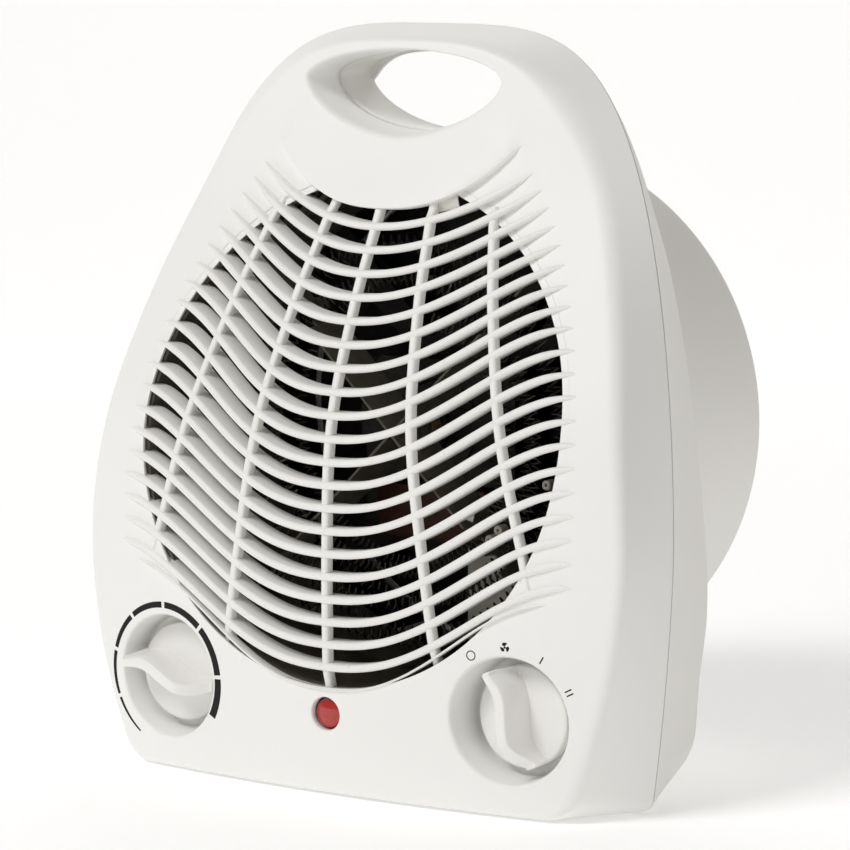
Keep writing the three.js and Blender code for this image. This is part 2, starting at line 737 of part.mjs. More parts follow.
// Four arms hold the motor in the middle of the drum; their rim goes on as the fan's shroud.
const SPIDER = { front: 28.5, thick: 1.8, shroudBack: 53 };
function spider() {
  const [y0, y1] = [SPIDER.front, SPIDER.front + SPIDER.thick];
  let frame = ring(DRUM.r - WALL - 2, DRUM.r - WALL - GAP, y0, SPIDER.shroudBack, 0, AXIS_Z, 36);
  frame = frame.add(disc(33, y0, y1, 0, AXIS_Z, 24));
  for (let k = 0; k < 4; k++) {
    const arm = box(-5, 5, y0, y1, AXIS_Z + 28, AXIS_Z + 86);
    frame = frame.add(turnedAbout(arm, 45 + 90 * k, 0, AXIS_Z));
  }
  frame = frame.subtract(disc(9.5, y0 - 1, y1 + 1, 0, AXIS_Z, 20));
  for (const s of [-1, 1]) {
    frame = frame.subtract(disc(1.9, y0 - 1, y1 + 1, s * 24, AXIS_Z + 14, 12));
  }
  return frame;
}
// Long screws clamp the stator to the spider through sleeves.
const motorSleeve = (s) =>
  ring(1.9, 3.6, MOTOR.back + GAP, SPIDER.front - GAP, s * 24, AXIS_Z + 14, 12);

// A thin dust filter lies between the fan and the intake grille.
const filter = () => disc(DRUM.r - WALL - GAP - 0.2, 53.4, 56.6, 0, DRUM.z, 36);

// ---------------------------------------------------------------- wiring and cord entry
const GLAND = { x: -72, z: 30, r: 5.5 };
const gland = () => {
  const wall = backY(GLAND.z);
  const profile = [
    [2.4, wall - 9],
    [GLAND.r + 2, wall - 9],
    [GLAND.r + 2, wall - WALL - 2 * GAP],
    [GLAND.r, wall - WALL - 2 * GAP],
    [GLAND.r, wall + GAP],
    [GLAND.r + 2.2, wall + GAP],
    [GLAND.r + 1.4, wall + 3],
    [2.4, wall + 3],
    [2.4, wall - 9],
  ];
  return turned(profile, GLAND.x, GLAND.z, 20);
};
const cordClamp = () =>
  box(GLAND.x - 9, GLAND.x + 9, -14, -4, GLAND.z - 4, GLAND.z + 4).subtract(
    disc(2.6, -20, 0, GLAND.x, GLAND.z, 12),
  );

function terminalBlock() {
  let block = box(-17, 17, -24, -10, 9, 22);
  for (let i = 0; i < 3; i++) {
    block = block.subtract(disc(2, -30, 5, -11 + 11 * i, 15.5, 8));
  }
  return block;
}

// ---------------------------------------------------------------- materials
const finish = (color, roughness, metalness = 0) =>
  new THREE.MeshStandardMaterial({ color, roughness, metalness });
const FINISHES = {
  shell: () => finish(0xebe9e4, 0.55),
  knob: () => finish(0xf1f0ec, 0.4),
  dark: () => finish(0x1c1c1e, 0.6),
  lens: () => finish(0xc81e14, 0.2),
  sheet: () => finish(0xa9abac, 0.4, 0.9),
  mica: () => finish(0xb9a888, 0.7),
  coil: () => finish(0x6d6660, 0.45, 0.9),
  steel: () => finish(0x8f9193, 0.35, 0.95),
  copper: () => finish(0xa8552c, 0.4, 0.8),
  rubber: () => finish(0x2a2a2a, 0.85),
  brass: () => finish(0xb08d4a, 0.35, 0.9),
  wire: () => finish(0xd9d4c8, 0.6),
};

// ---------------------------------------------------------------- the assembly
const group = new THREE.Group();
group.position.y = CENTRE_SHIFT_Y;

function addPart(name, body, look) {
  const mesh = new THREE.Mesh(geometryOf(body), FINISHES[look]());
  mesh.name = name;
  group.add(mesh);
}

addPart("front_cover", frontCover(), "shell");
addPart("rear_cover", rearCover(), "shell");
addPart("front_grille", frontGrille(), "shell");
addPart("rear_grille", rearGrille(), "shell");
addPart("intake_filter", filter(), "dark");
for (const place of SCREWS) addPart(`screw_${place.name}`, screw(place), "steel");
addPart("foot_front_left", frontFoot(-FRONT_FOOT.x), "rubber");
addPart("foot_front_right", frontFoot(FRONT_FOOT.x), "rubber");
addPart("foot_rear_left", rearFoot(-REAR_FOOT.x), "rubber");
addPart("foot_rear_right", rearFoot(REAR_FOOT.x), "rubber");

addPart("rear_leg_left", rearLeg(-REAR_FOOT.x), "shell");
addPart("rear_leg_right", rearLeg(REAR_FOOT.x), "shell");

addPart("thermostat_knob", knob(-DIAL.x, THERMOSTAT_REST), "knob");
addPart("thermostat_spindle", spindle(-DIAL.x), "steel");
addPart("thermostat_body", control(-DIAL.x, 26, 26, 14), "mica");
addPart("thermostat_terminals", terminals(-DIAL.x, 2, 14), "brass");
addPart("mode_knob", knob(DIAL.x, MODE_REST), "knob");
addPart("switch_spindle", spindle(DIAL.x), "steel");
addPart("switch_body", control(DIAL.x, 28, 26, 20), "dark");
addPart("switch_terminals", terminals(DIAL.x, 4, 20), "brass");
addPart("lamp_lens", lampLens(), "lens");
addPart("lamp_body", lampBody(), "dark");

addPart("heater_duct", ductRing(), "sheet");
addPart("mica_blade_a", micaBlade(45, true), "mica");
addPart("mica_blade_b", micaBlade(135, false), "mica");
addPart("heating_coil_front", heatingCoil(ELEMENT.front + 3.4), "coil");
addPart("heating_coil_back", heatingCoil(ELEMENT.back - 3.4), "coil");
addPart("thermal_cutout", box(-74, -60, -3.4, 1, AXIS_Z - 6, AXIS_Z + 6), "dark");
addPart("thermal_fuse", box(58, 72, -3.4, 0, AXIS_Z - 2, AXIS_Z + 2), "steel");

addPart("fan_impeller", impeller(), "dark");
addPart("fan_nut", fanNut(), "brass");
addPart("motor_shaft", shaft(), "steel");
addPart("motor_rotor", rotor(), "steel");
addPart("motor_stator", stator(), "steel");
addPart("motor_winding", winding(), "copper");
addPart("motor_strap_front", strap(STRAP_FRONT, 1), "steel");
addPart("motor_strap_back", strap(STRAP_BACK, -1), "steel");
addPart("motor_bearing_front", bearing(STRAP_FRONT), "brass");
addPart("motor_bearing_back", bearing(STRAP_BACK), "brass");
addPart("motor_spider", spider(), "dark");
addPart("motor_sleeve_left", motorSleeve(-1), "steel");
addPart("motor_sleeve_right", motorSleeve(1), "steel");

addPart("cord_gland", gland(), "rubber");
addPart("cord_clamp", cordClamp(), "dark");
addPart("terminal_block", terminalBlock(), "wire");

export default group;
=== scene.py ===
"""The looks of an upright fan convector heater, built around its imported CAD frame.

Every shape is worked out in millimetres in the heater's own axes: the outlet faces -Y, +X is to the
right seen from the front, +Z is up. ``to_frame`` turns those to the frame's metres.
"""
import logging
import math
from dataclasses import dataclass
from enum import Enum
from typing import Callable, Iterable, Sequence

import bmesh
import bpy
import numpy as np
from numpy.polynomial import Polynomial
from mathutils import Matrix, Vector
from mathutils.geometry import delaunay_2d_cdt


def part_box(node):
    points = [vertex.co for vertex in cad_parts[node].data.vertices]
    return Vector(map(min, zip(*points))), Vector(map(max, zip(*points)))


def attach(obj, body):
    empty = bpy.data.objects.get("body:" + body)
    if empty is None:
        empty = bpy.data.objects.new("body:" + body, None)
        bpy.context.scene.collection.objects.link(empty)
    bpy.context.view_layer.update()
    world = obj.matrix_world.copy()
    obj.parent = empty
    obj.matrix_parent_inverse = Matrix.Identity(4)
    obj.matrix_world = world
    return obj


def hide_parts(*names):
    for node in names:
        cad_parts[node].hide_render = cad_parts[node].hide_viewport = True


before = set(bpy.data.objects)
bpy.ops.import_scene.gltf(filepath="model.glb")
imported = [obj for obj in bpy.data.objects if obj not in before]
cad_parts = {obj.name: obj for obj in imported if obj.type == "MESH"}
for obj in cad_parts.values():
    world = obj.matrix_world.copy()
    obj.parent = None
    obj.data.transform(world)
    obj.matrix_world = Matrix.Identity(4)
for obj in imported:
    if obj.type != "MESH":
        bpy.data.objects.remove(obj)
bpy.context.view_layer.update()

log = logging.getLogger("heater")
MM = 0.001
DRUM_REAR_Y = 63.1
SHIFT_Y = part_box("rear_cover")[1].y / MM - DRUM_REAR_Y  # the frame is centred over the heater
Array = np.ndarray


class Body(Enum):
    """The frame's bodies that new pieces ride on."""

    HOUSING = "housing"
    MODE = "mode_dial"
    THERMOSTAT = "thermostat_dial"


# ---------------------------------------------------------------- surfaces
@dataclass
class Surface:
    """Points in millimetres and the faces between them, as rows of point numbers."""

    points: Array
    faces: list[list[int]]


def grid(points: Array, around: bool = False, along: bool = False) -> Surface:
    """Quads over a grid of points.

    Args:
        points: array of shape (rows, columns, 3).
        around: joins the last column to the first.
        along: joins the last row to the first.

    Returns:
        The surface through the grid.
    """
    rows, columns = points.shape[:2]
    i = np.arange(rows if along else rows - 1)
    j = np.arange(columns if around else columns - 1)
    a, b = np.meshgrid(i, j, indexing="ij")
    up, right = (a + 1) % rows, (b + 1) % columns
    quads = np.stack([a * columns + b, a * columns + right, up * columns + right, up * columns + b], -1)
    return Surface(points.reshape(-1, 3), quads.reshape(-1, 4).tolist())


def joined(surfaces: Iterable[Surface]) -> Surface:
    """All surfaces as one, their point numbers moved up in turn.

    Args:
        surfaces: the surfaces, in order.

    Returns:
        One surface that holds them all.
    """
    points, faces, count = [], [], 0
    for surface in surfaces:
        points.append(surface.points)
        faces += [[k + count for k in face] for face in surface.faces]
        count += len(surface.points)
    return Surface(np.concatenate(points), faces)


def capped(rows: Array) -> Surface:
    """Closed rings skinned one after another, the first and last rings closed by one face each.

    Args:
        rows: the rings' points, of shape (rings, points, 3).

    Returns:
        The closed surface.
    """
    surface = grid(rows, around=True)
    columns = rows.shape[1]
    count = rows.shape[0] * columns
    surface.faces.append(list(range(columns))[::-1])
    surface.faces.append(list(range(count - columns, count)))
    return surface


def turned(profile: Sequence[tuple[float, float]], x: float, z: float, sides: int = 64) -> Surface:
    """A profile of (radius, y) turned about an axis along Y: x + r sin a, y, z + r cos a.

    Args:
        profile: the radius and depth of each ring; a radius of 0 closes the end.
        x: the axis's place.
        z: the axis's height.
        sides: points round the axis.

    Returns:
        The turned surface.
    """
    r, y = np.array(profile, float).T
    a = np.linspace(0, 2 * math.pi, sides, endpoint=False)
    deep = np.outer(y, np.ones_like(a))
    rings = np.stack([x + np.outer(r, np.sin(a)), deep, z + np.outer(r, np.cos(a))], -1)
    return grid(rings, around=True)


def rounded(profile: Sequence[tuple[float, float, float]], steps: int = 5) -> list[tuple[float, float]]:
    """A profile of (radius, y, fillet) corners with each corner turned into a quadratic curve.

    Args:
        profile: corners in order, each with the length that its curve takes off both its sides.
        steps: points on each curve.

    Returns:
        The profile's points as (radius, y).
    """
    p = np.array(profile, float)
    out: list[tuple[float, float]] = []
    for k in range(len(p)):
        here, cut = p[k, :2], p[k, 2]
        if cut <= 0 or k in (0, len(p) - 1):
            out.append((here[0], here[1]))
            continue
        ends = []
        for other in (p[k - 1, :2], p[k + 1, :2]):
            gap = other - here
            length = max(np.linalg.norm(gap), 1e-6)
            ends.append(here + gap * min(cut / length, 0.49))
        t = np.linspace(0, 1, steps)[:, None]
        curve = (1 - t) ** 2 * ends[0] + 2 * t * (1 - t) * here + t**2 * ends[1]
        out += [tuple(point) for point in curve]
    return out


def block(
    low: tuple[float, float, float], high: tuple[float, float, float], edge: float = 0.5
) -> Surface:
    """A box with rounded edges: six rings of a rounded rectangle rise from the bottom to the top.

    Args:
        low: the lowest corner.
        high: the highest corner.
        edge: the radius of its edges.

    Returns:
        The closed box.
    """
    (x0, y0, z0), (x1, y1, z1) = low, high
    cx, cy, hx, hy = (x0 + x1) / 2, (y0 + y1) / 2, (x1 - x0) / 2, (y1 - y0) / 2
    edge = min(edge, 0.45 * min(hx, hy), 0.45 * (z1 - z0))
    a = np.linspace(0, 2 * math.pi, 16, endpoint=False) + math.pi / 16
    rows = [(0, z0), (0.7, z0 + 0.3 * edge), (1, z0 + edge)]
    rows += [(t, z0 + z1 - z) for t, z in reversed(rows)]
    rings = []
    for t, z in rows:
        pull = edge * (1 - t)
        ring_x = cx + np.sign(np.cos(a)) * (hx - edge) + (edge - pull) * np.cos(a)
        ring_y = cy + np.sign(np.sin(a)) * (hy - edge) + (edge - pull) * np.sin(a)
        rings.append(np.stack([ring_x, ring_y, np.full_like(a, z)], -1))
    return capped(np.array(rings))


def swept(path: Array, section: Array, scale: Array | None = None, closed: bool = False) -> Surface:
    """A closed section carried along a path in frames that don't twist.

    Args:
        path: (n, 3) points.
        section: (m, 2) points across the path.
        scale: size of the section at each path point.
        closed: joins the path's end to its start, otherwise both ends are closed.

    Returns:
        The swept surface.
    """
    tangent = np.gradient(path, axis=0)
    tangent /= np.linalg.norm(tangent, axis=1)[:, None]
    side = np.zeros_like(path)
    first = np.cross(tangent[0], [0.0, 1.0, 0.0])
    if np.linalg.norm(first) < 0.1:
        first = np.cross(tangent[0], [1.0, 0.0, 0.0])
    side[0] = first / np.linalg.norm(first)
    for k in range(1, len(path)):
        carried = side[k - 1] - tangent[k] * np.dot(side[k - 1], tangent[k])
        side[k] = carried / np.linalg.norm(carried)
    up = np.cross(side, tangent)
    size = np.ones(len(path)) if scale is None else scale
    rows = path[:, None] + size[:, None, None] * (
        section[None, :, :1] * side[:, None] + section[None, :, 1:] * up[:, None]
    )
    return grid(rows, around=True, along=True) if closed else capped(rows)


def circle(radius: float, sides: int = 10) -> Array:
    """A round section of the given radius."""
    a = np.linspace(0, 2 * math.pi, sides, endpoint=False)
    return radius * np.stack([np.cos(a), np.sin(a)], -1)


def spun(surface: Surface, degrees: float, x: float, z: float) -> Surface:
    """A surface turned clockwise, seen from the front, about an axis along Y.

    Args:
        surface: the surface, which is left as it is.
        degrees: how far it turns.
        x: the axis's place.
        z: the axis's height.

    Returns:
        The turned surface.
    """
    a = math.radians(degrees)
    px, pz = surface.points[:, 0] - x, surface.points[:, 2] - z
    moved = surface.points.copy()
    moved[:, 0] = x + px * math.cos(a) + pz * math.sin(a)
    moved[:, 2] = z - px * math.sin(a) + pz * math.cos(a)
    return Surface(moved, surface.faces)


def signed_power(value: Array, power: Array | float) -> Array:
    """The power of a value's size with the value's sign, as a superellipse takes it."""
    return np.sign(value) * np.abs(value) ** power


def to_frame(points: Array) -> Array:
    """Millimetres in the heater's axes to the frame's metres."""
    return (points + [0.0, SHIFT_Y, 0.0]) * MM


# ---------------------------------------------------------------- materials
MIX_A, MIX_B, MIX_RESULT = 6, 7, 2  # a Mix node's colour sockets, which share their names with others


def linear(colour: str) -> tuple[float, float, float, float]:
    """Turns an sRGB colour to linear light.

    Args:
        colour: the colour as a hex value, such as "#f5f5f3".

    Returns:
        Linear red, green and blue, and an alpha of 1.
    """
    parts = [int(colour.lstrip("#")[k : k + 2], 16) / 255 for k in (0, 2, 4)]
    lin = [c / 12.92 if c <= 0.04045 else ((c + 0.055) / 1.055) ** 2.4 for c in parts]
    return (lin[0], lin[1], lin[2], 1.0)


def add_node(
    material: bpy.types.Material,
    kind: str,
    links: dict[str, bpy.types.NodeSocket] | None = None,
    inputs: dict[str | int, object] | None = None,
    **settings: object,
) -> bpy.types.Node:
    """Adds a shader node.

    Args:
        material: the material whose tree takes the node.
        kind: the node's type without its ShaderNode prefix.
        links: output sockets to join to the node's named inputs.
        inputs: values for the node's inputs, by name or number.
        settings: the node's own properties.

    Returns:
        The new node.
    """
    tree = material.node_tree
    node = tree.nodes.new("ShaderNode" + kind)
    for name, value in settings.items():
        setattr(node, name, value)
    for name, value in (inputs or {}).items():
        node.inputs[name].default_value = value
    for name, socket in (links or {}).items():
        tree.links.new(socket, node.inputs[name])
    return node


@dataclass(frozen=True)
class Finish:
    """A surface finish: what the shader is given and the fine relief on the surface.

    The colour drifts between ``colour`` and ``shade`` over ``drift_mm``. The relief is a noise of
    grain size ``grain_mm`` that is ``relief_mm`` deep, and roughness varies by ``polish`` with it.
    """

    name: str
    colour: str
    shade: str
    roughness: float
    metallic: float = 0.0
    ior: float = 1.5
    grain_mm: float = 0.6
    relief_mm: float = 0.02
    drift_mm: float = 60.0
    polish: float = 0.04
    specks: float = 0.0
    coat: float = 0.0
    through: float = 0.0

    def material(self) -> bpy.types.Material:
        """Makes the finish's node material the first time, and finds it again after that.

        Returns:
            The material.
        """
        made = bpy.data.materials.get(self.name)
        if made is not None:
            return made
        mat = bpy.data.materials.new(self.name)
        mat.use_nodes = True
        tree = mat.node_tree
        shader = tree.nodes["Principled BSDF"]
        shader.inputs["Metallic"].default_value = self.metallic
        if not self.metallic:
            shader.inputs["IOR"].default_value = self.ior
        shader.inputs["Coat Weight"].default_value = self.coat
        shader.inputs["Transmission Weight"].default_value = self.through
        place = add_node(mat, "TexCoord").outputs["Object"]
        self.paint(mat, shader, place)
        grain = add_node(
            mat, "TexNoise", {"Vector": place}, {"Scale": 1 / (self.grain_mm * MM), "Detail": 2.0}
        )
        rough = add_node(
            mat,
            "MapRange",
            {"Value": grain.outputs["Fac"]},
            {"To Min": self.roughness - self.polish, "To Max": self.roughness + self.polish},
        )
        tree.links.new(rough.outputs["Result"], shader.inputs["Roughness"])
        bump = add_node(
            mat,
            "Bump",
            {"Height": grain.outputs["Fac"]},
            {"Distance": self.relief_mm * MM, "Strength": 1.0},
        )
        tree.links.new(bump.outputs["Normal"], shader.inputs["Normal"])
        return mat

    def paint(
        self, mat: bpy.types.Material, shader: bpy.types.Node, place: bpy.types.NodeSocket
    ) -> None:
        """Colours the shader: two close shades drift into each other, with dark specks if asked.

        Args:
            mat: the material.
            shader: its shader node.
            place: the pattern's coordinates.
        """
        drift = add_node(
            mat, "TexNoise", {"Vector": place}, {"Scale": 1 / (self.drift_mm * MM), "Detail": 3.0}
        )
        base = add_node(
            mat,
            "Mix",
            {"Factor": drift.outputs["Fac"]},
            {MIX_A: linear(self.colour), MIX_B: linear(self.shade)},
            data_type="RGBA",
        )
        colour = base.outputs[MIX_RESULT]
        if self.specks:
            dust = add_node(
                mat, "TexNoise", {"Vector": place}, {"Scale": 1 / (2.2 * MM), "Detail": 4.0}
            )
            where = add_node(
                mat,
                "MapRange",
                {"Value": dust.outputs["Fac"]},
                {"From Min": 0.62, "From Max": 0.74, "To Max": self.specks},
            )
            spotted = add_node(
                mat,
                "Mix",
                {"Factor": where.outputs["Result"]},
                {MIX_B: linear("#8f8778")},
                data_type="RGBA",
            )
            mat.node_tree.links.new(colour, spotted.inputs[MIX_A])
            colour = spotted.outputs[MIX_RESULT]
        mat.node_tree.links.new(colour, shader.inputs["Base Color"])


@dataclass(frozen=True)
class BrushedFinish(Finish):
    """Sheet metal with fine drawn lines along X, as rolling leaves them."""

    def paint(
        self, mat: bpy.types.Material, shader: bpy.types.Node, place: bpy.types.NodeSocket
    ) -> None:
        """Colours the shader with a noise stretched twelve times along the rolling lines.

        Args:
            mat: the material.
            shader: its shader node.
            place: the pattern's coordinates.
        """
        lines = add_node(mat, "Mapping", {"Vector": place}, {"Scale": (0.08, 1.0, 1.0)})
        streak = add_node(
            mat,
            "TexNoise",
            {"Vector": lines.outputs["Vector"]},
            {"Scale": 1 / (0.5 * MM), "Detail": 4.0},
        )
        base = add_node(
            mat,
            "Mix",
            {"Factor": streak.outputs["Fac"]},
            {MIX_A: linear(self.colour), MIX_B: linear(self.shade)},
            data_type="RGBA",
        )
        mat.node_tree.links.new(base.outputs[MIX_RESULT], shader.inputs["Base Color"])


# Moulded ABS with a fine spark-eroded texture: a soft sheen that shows no clear reflection.
SHELL = Finish("white_abs_textured", "#f5f5f3", "#f2f2ef", 0.5, grain_mm=0.55, relief_mm=0.035)
# The same ABS at the rear, a little matter, its colour painted a little greyer as shade where less light
# reaches the rear.
SHELL_REAR_SHADED = Finish("white_abs_rear_painted_shade", "#f1f0ed", "#ecebe7", 0.52, grain_mm=0.55, relief_mm=0.035)
# Grille bars collect dust, in grey specks of a millimetre or two, spread all over them.
BARS = Finish("white_abs_bars", "#f4f4f2", "#efeeea", 0.45, relief_mm=0.02, specks=0.12)
# Dials come from a polished mould, so they are smoother than the shell.
KNOB = Finish("white_abs_dial", "#f5f4f1", "#f1f0ec", 0.34, grain_mm=0.8, relief_mm=0.008, drift_mm=25)
# Pad-printed marks: flat black ink.
INK = Finish("black_pad_print", "#0c0c0b", "#10100f", 0.85, grain_mm=0.2, relief_mm=0.004)
# Glass-filled PA66, dull black.
DARK = Finish("black_nylon", "#1b1b1b", "#232322", 0.55, grain_mm=0.5)
# Clear red polycarbonate lens, polished.
LENS = Finish(
    "red_lens", "#c3281c", "#b01f16", 0.12, ior=1.58, grain_mm=1.5, relief_mm=0.01, coat=0.5, through=0.15
)
# The matt inside of the air duct and the outlet collar, painted dark grey as shade.
DUCT_SHADED = BrushedFinish("duct_painted_shade", "#8b857b", "#6e695f", 0.6, metallic=0.3, grain_mm=2)
# Pressed mica board with flakes that glint, a few millimetres across, painted dark grey-brown as shade.
SHADED_MICA = Finish("mica_board_painted_shade", "#8c867a", "#6c665a", 0.42, grain_mm=1.6, relief_mm=0.08, drift_mm=4)
# The mica of the shield behind the winding, left pale where light falls on it: the lit copy of the mica
# board, as painted light.
LIT_MICA = Finish("mica_painted_light", "#f1ece0", "#e2dccd", 0.4, grain_mm=1.6, relief_mm=0.05, drift_mm=6)
# Nichrome strip, oxidised grey with a bright edge here and there.
NICHROME = Finish("nichrome_wire", "#625d57", "#3a3733", 0.3, metallic=1.0, grain_mm=0.7, drift_mm=3)
# Cold-rolled steel, zinc plated.
STEEL = BrushedFinish("zinc_plated_steel", "#b4b5b4", "#8f9090", 0.3, metallic=1.0, grain_mm=0.5)
# Nickel-plated tabs that catch the light.
BRIGHT = BrushedFinish("nickel_plate", "#e6e4df", "#d2cfc8", 0.42, metallic=0.6, grain_mm=0.5)
# Enamelled copper winding wire, painted dark brown as shade of the dark inside.
COPPER_SHADED = Finish("enamelled_copper_painted_shade", "#4a2c1c", "#331d12", 0.4, metallic=0.6, grain_mm=0.4, drift_mm=3)
# Motor laminations and brackets: dark oxide, and painted nearly black as shade of the dark inside.
MOTOR_STEEL_SHADED = BrushedFinish("motor_steel_oxide_and_shade", "#3a3936", "#2a2927", 0.5, metallic=0.7, grain_mm=0.5)
# Free-cutting brass, tarnished a little.
BRASS = Finish("brass", "#b8954f", "#94743a", 0.34, metallic=1.0, grain_mm=0.4, drift_mm=6)
# Soft black rubber with bloom.
RUBBER = Finish("black_rubber", "#262626", "#303030", 0.8, grain_mm=0.4, relief_mm=0.03, drift_mm=12)
# Cream steatite and glass sleeving.
CERAMIC = Finish("cream_steatite", "#e9e4d8", "#dcd5c6", 0.38, grain_mm=0.4, relief_mm=0.02, drift_mm=8)


# ---------------------------------------------------------------- pieces
def add_piece(
    name: str,
    surfaces: Sequence[Surface],
    finish: Finish,
    body: Body = Body.HOUSING,
    stands_for: Sequence[str] = (),
    wall: float = 0.0,
    crease: float = 32.0,
) -> bpy.types.Object:
    """Makes one mesh object of the surfaces, dresses it and hands it to the frame.

    Args:
        name: the piece's name.
        surfaces: its surfaces in millimetres.
        finish: its finish.
        body: the body it rides on.
        stands_for: CAD nodes that it replaces.
        wall: thickness grown inwards, for an open shell, in millimetres.
        crease: angle in degrees above which an edge stays sharp.

    Returns:
        The new object.
    """
    whole = joined(surfaces)
    mesh = bpy.data.meshes.new(name)
    mesh.from_pydata(to_frame(whole.points).tolist(), [], whole.faces)
    work = bmesh.new()
    work.from_mesh(mesh)
    bmesh.ops.remove_doubles(work, verts=work.verts, dist=0.01 * MM)
    bmesh.ops.dissolve_degenerate(work, edges=work.edges, dist=0.004 * MM)
    bmesh.ops.recalc_face_normals(work, faces=work.faces)
    work.to_mesh(mesh)
    work.free()
    mesh.validate()
    mesh.shade_smooth()
    mesh.set_sharp_from_angle(angle=math.radians(crease))
    piece = bpy.data.objects.new(name, mesh)
    bpy.context.scene.collection.objects.link(piece)
    if wall:
        thicken = piece.modifiers.new("wall", "SOLIDIFY")
        thicken.thickness = wall * MM
        thicken.offset = -1.0
    mesh.materials.append(finish.material())
    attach(piece, body.value)
    if stands_for:
        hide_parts(*stands_for)
    log.info("%s: %d points", name, len(mesh.vertices))
    return piece


def smooth(t: Array | float) -> Array:
    """The smooth step 3t^2 - 2t^3 of t held between 0 and 1."""
    t = np.clip(t, 0, 1)
    return t * t * (3 - 2 * t)


# ---------------------------------------------------------------- the shared form
@dataclass(frozen=True)
class Outline:
    """An outline seen from the front, symmetric about the middle, in millimetres.

    Up to the belly the half width tucks in by a square law towards the base; above it a
    superelliptic shoulder half * (1 - climb^rise)^bow closes at the top.
    """

    half: float
    belly: float
    top: float
    tuck: float
    rise: float
    bow: float
    corner: float
    base: float = 1.0

    def half_width(self, z: Array) -> Array:
        """How far the outline lies from the middle.

        Args:
            z: heights.

        Returns:
            The half width at each height.
        """
        low = self.half - self.tuck * (np.clip(self.belly - z, 0, None) / self.belly) ** 2
        climb = np.clip((z - self.belly) / (self.top - self.belly), 0, 1)
        return np.where(z <= self.belly, low, self.half * (1 - climb**self.rise) ** self.bow)

    def loop(self, across: int = 16, up: int = 100) -> Array:
        """The closed outline as (x, z), from the base's middle up the right and down the left.

        Args:
            across: steps along half the base.
            up: steps up each side, closer together near the base and the top.

        Returns:
            The points, the same number at the same stages for every outline.
        """
        foot = float(self.half_width(np.array(self.base))) - self.corner
        bottom = np.stack([np.linspace(0, foot, across, endpoint=False), np.full(across, self.base)], -1)
        z = self.base + (self.top - self.base) * (1 - np.cos(np.linspace(0, math.pi, up + 1))) / 2
        below = np.clip(self.corner - (z - self.base), 0, None)
        cut = self.corner - np.sqrt(self.corner**2 - below**2)
        side = np.stack([np.clip(self.half_width(z) - cut, 0, None), z], -1)
        right = np.concatenate([bottom, side])
        left = right[1:-1][::-1] * [-1, 1]
        return np.concatenate([right, left])


FACE_EDGE = Outline(half=105.9, belly=85, top=246, tuck=20, rise=1.4, bow=0.33, corner=8)
SEAM = Outline(half=107.3, belly=77, top=250, tuck=5.4, rise=1.6, bow=0.27, corner=4)
BACK = Outline(half=100.2, belly=67, top=245, tuck=3.4, rise=1.35, bow=0.3, corner=14, base=8.0)
SEAM_GAP = 0.35  # from the seam's middle to either shell
SHELL_WALL = 2.3
FACE_KNOTS = np.array(
    [[0, -62.4], [40, -64.1], [80, -63.2], [120, -57.9], [160, -43], [200, -26], [245, -18.3]]
)  # height and depth of the face on its middle line
FACE_SWEEP = 0.000918  # the face falls back sideways by this times x squared
OUTLET_R, OUTLET_Z = 81.8, 118.3
LIP_Z, LIP_RISE, LIP_X = 190.0, 21.0, 47.4
LIP_CROSS_X = 27.4  # where the lip crosses the outlet's circle
HOLE_HALF, HOLE_Z, HOLE_DOWN, HOLE_UP = 38.0, 232.0, 18.0, 10.0
DIAL_X, DIAL_Z, BOWL_R, BOWL_DEEP = 67.8, 32.2, 20.6, 14.0
LAMP_Z, LAMP_R = 27.7, 5.0
AXIS_Z, DRUM_R = 115.3, 90.7
SCREW_X, SCREW_Z = 54.0, 209.0  # the upper pair, sunk in the flat back
GLAND_X, GLAND_Z, GLAND_R = -72.0, 30.0, 5.5


def face_y(x: Array, z: Array) -> Array:
    """Depth of the front face: a cubic through the knots, with central slopes, plus the sweep.

    Args:
        x: places across the face.
        z: heights.

    Returns:
        The depth at each place.
    """
    kz, ky = FACE_KNOTS.T
    slope = np.gradient(ky, kz)
    slope[1:-1] = (ky[2:] - ky[:-2]) / (kz[2:] - kz[:-2])
    i = np.clip(np.searchsorted(kz, z, side="right") - 1, 0, len(kz) - 2)
    h = kz[i + 1] - kz[i]
    t = (z - kz[i]) / h
    rise = t * t * (3 - 2 * t) * (ky[i + 1] - ky[i])
    return ky[i] + rise + h * t * (1 - t) * ((1 - t) * slope[i] - t * slope[i + 1]) + FACE_SWEEP * x * x


def seam_y(z: Array) -> Array:
    """Depth of the seam between the shells."""
    return -27 + 30 * (z / SEAM.top) ** 2


def back_y(z: Array) -> Array:
    """Depth of the flat back."""
    return 13 + 9 * (z / SEAM.top) ** 2


def lip_z(x: Array) -> Array:
    """Height of the lip over the outlet, a U that rises sideways."""
    return LIP_Z + LIP_RISE * (np.abs(x) / LIP_X) ** 2.4


def tongue(x: Array, z: Array) -> Array:
    """How far the tongue above the lip stands out of the face.

    It is highest on the lip, where a quarter-round edge 1.2 mm wide drops to the face, and it fades
    into the face over 26 mm upwards and, more and more softly with height, sideways.

    Args:
        x: places across the face.
        z: heights.

    Returns:
        The height out of the face at each place.
    """
    above = z - lip_z(x)
    high = 1.7 + 3.0 * np.clip(1 - (x / LIP_X) ** 2, 0, 1)
    edge = 1 - (1 - np.clip(above / 1.2, 0, 1)) ** 3
    fade = 1 - smooth(above / 26)
    side = smooth((LIP_X + 0.4 - np.abs(x)) / (1.6 + 0.75 * np.clip(above, 0, None)))
    return high * edge * fade * side


def front_y(x: Array, z: Array) -> Array:
    """Depth of the finished front: the face with the tongue raised from it."""
    return face_y(x, z) - tongue(x, z)


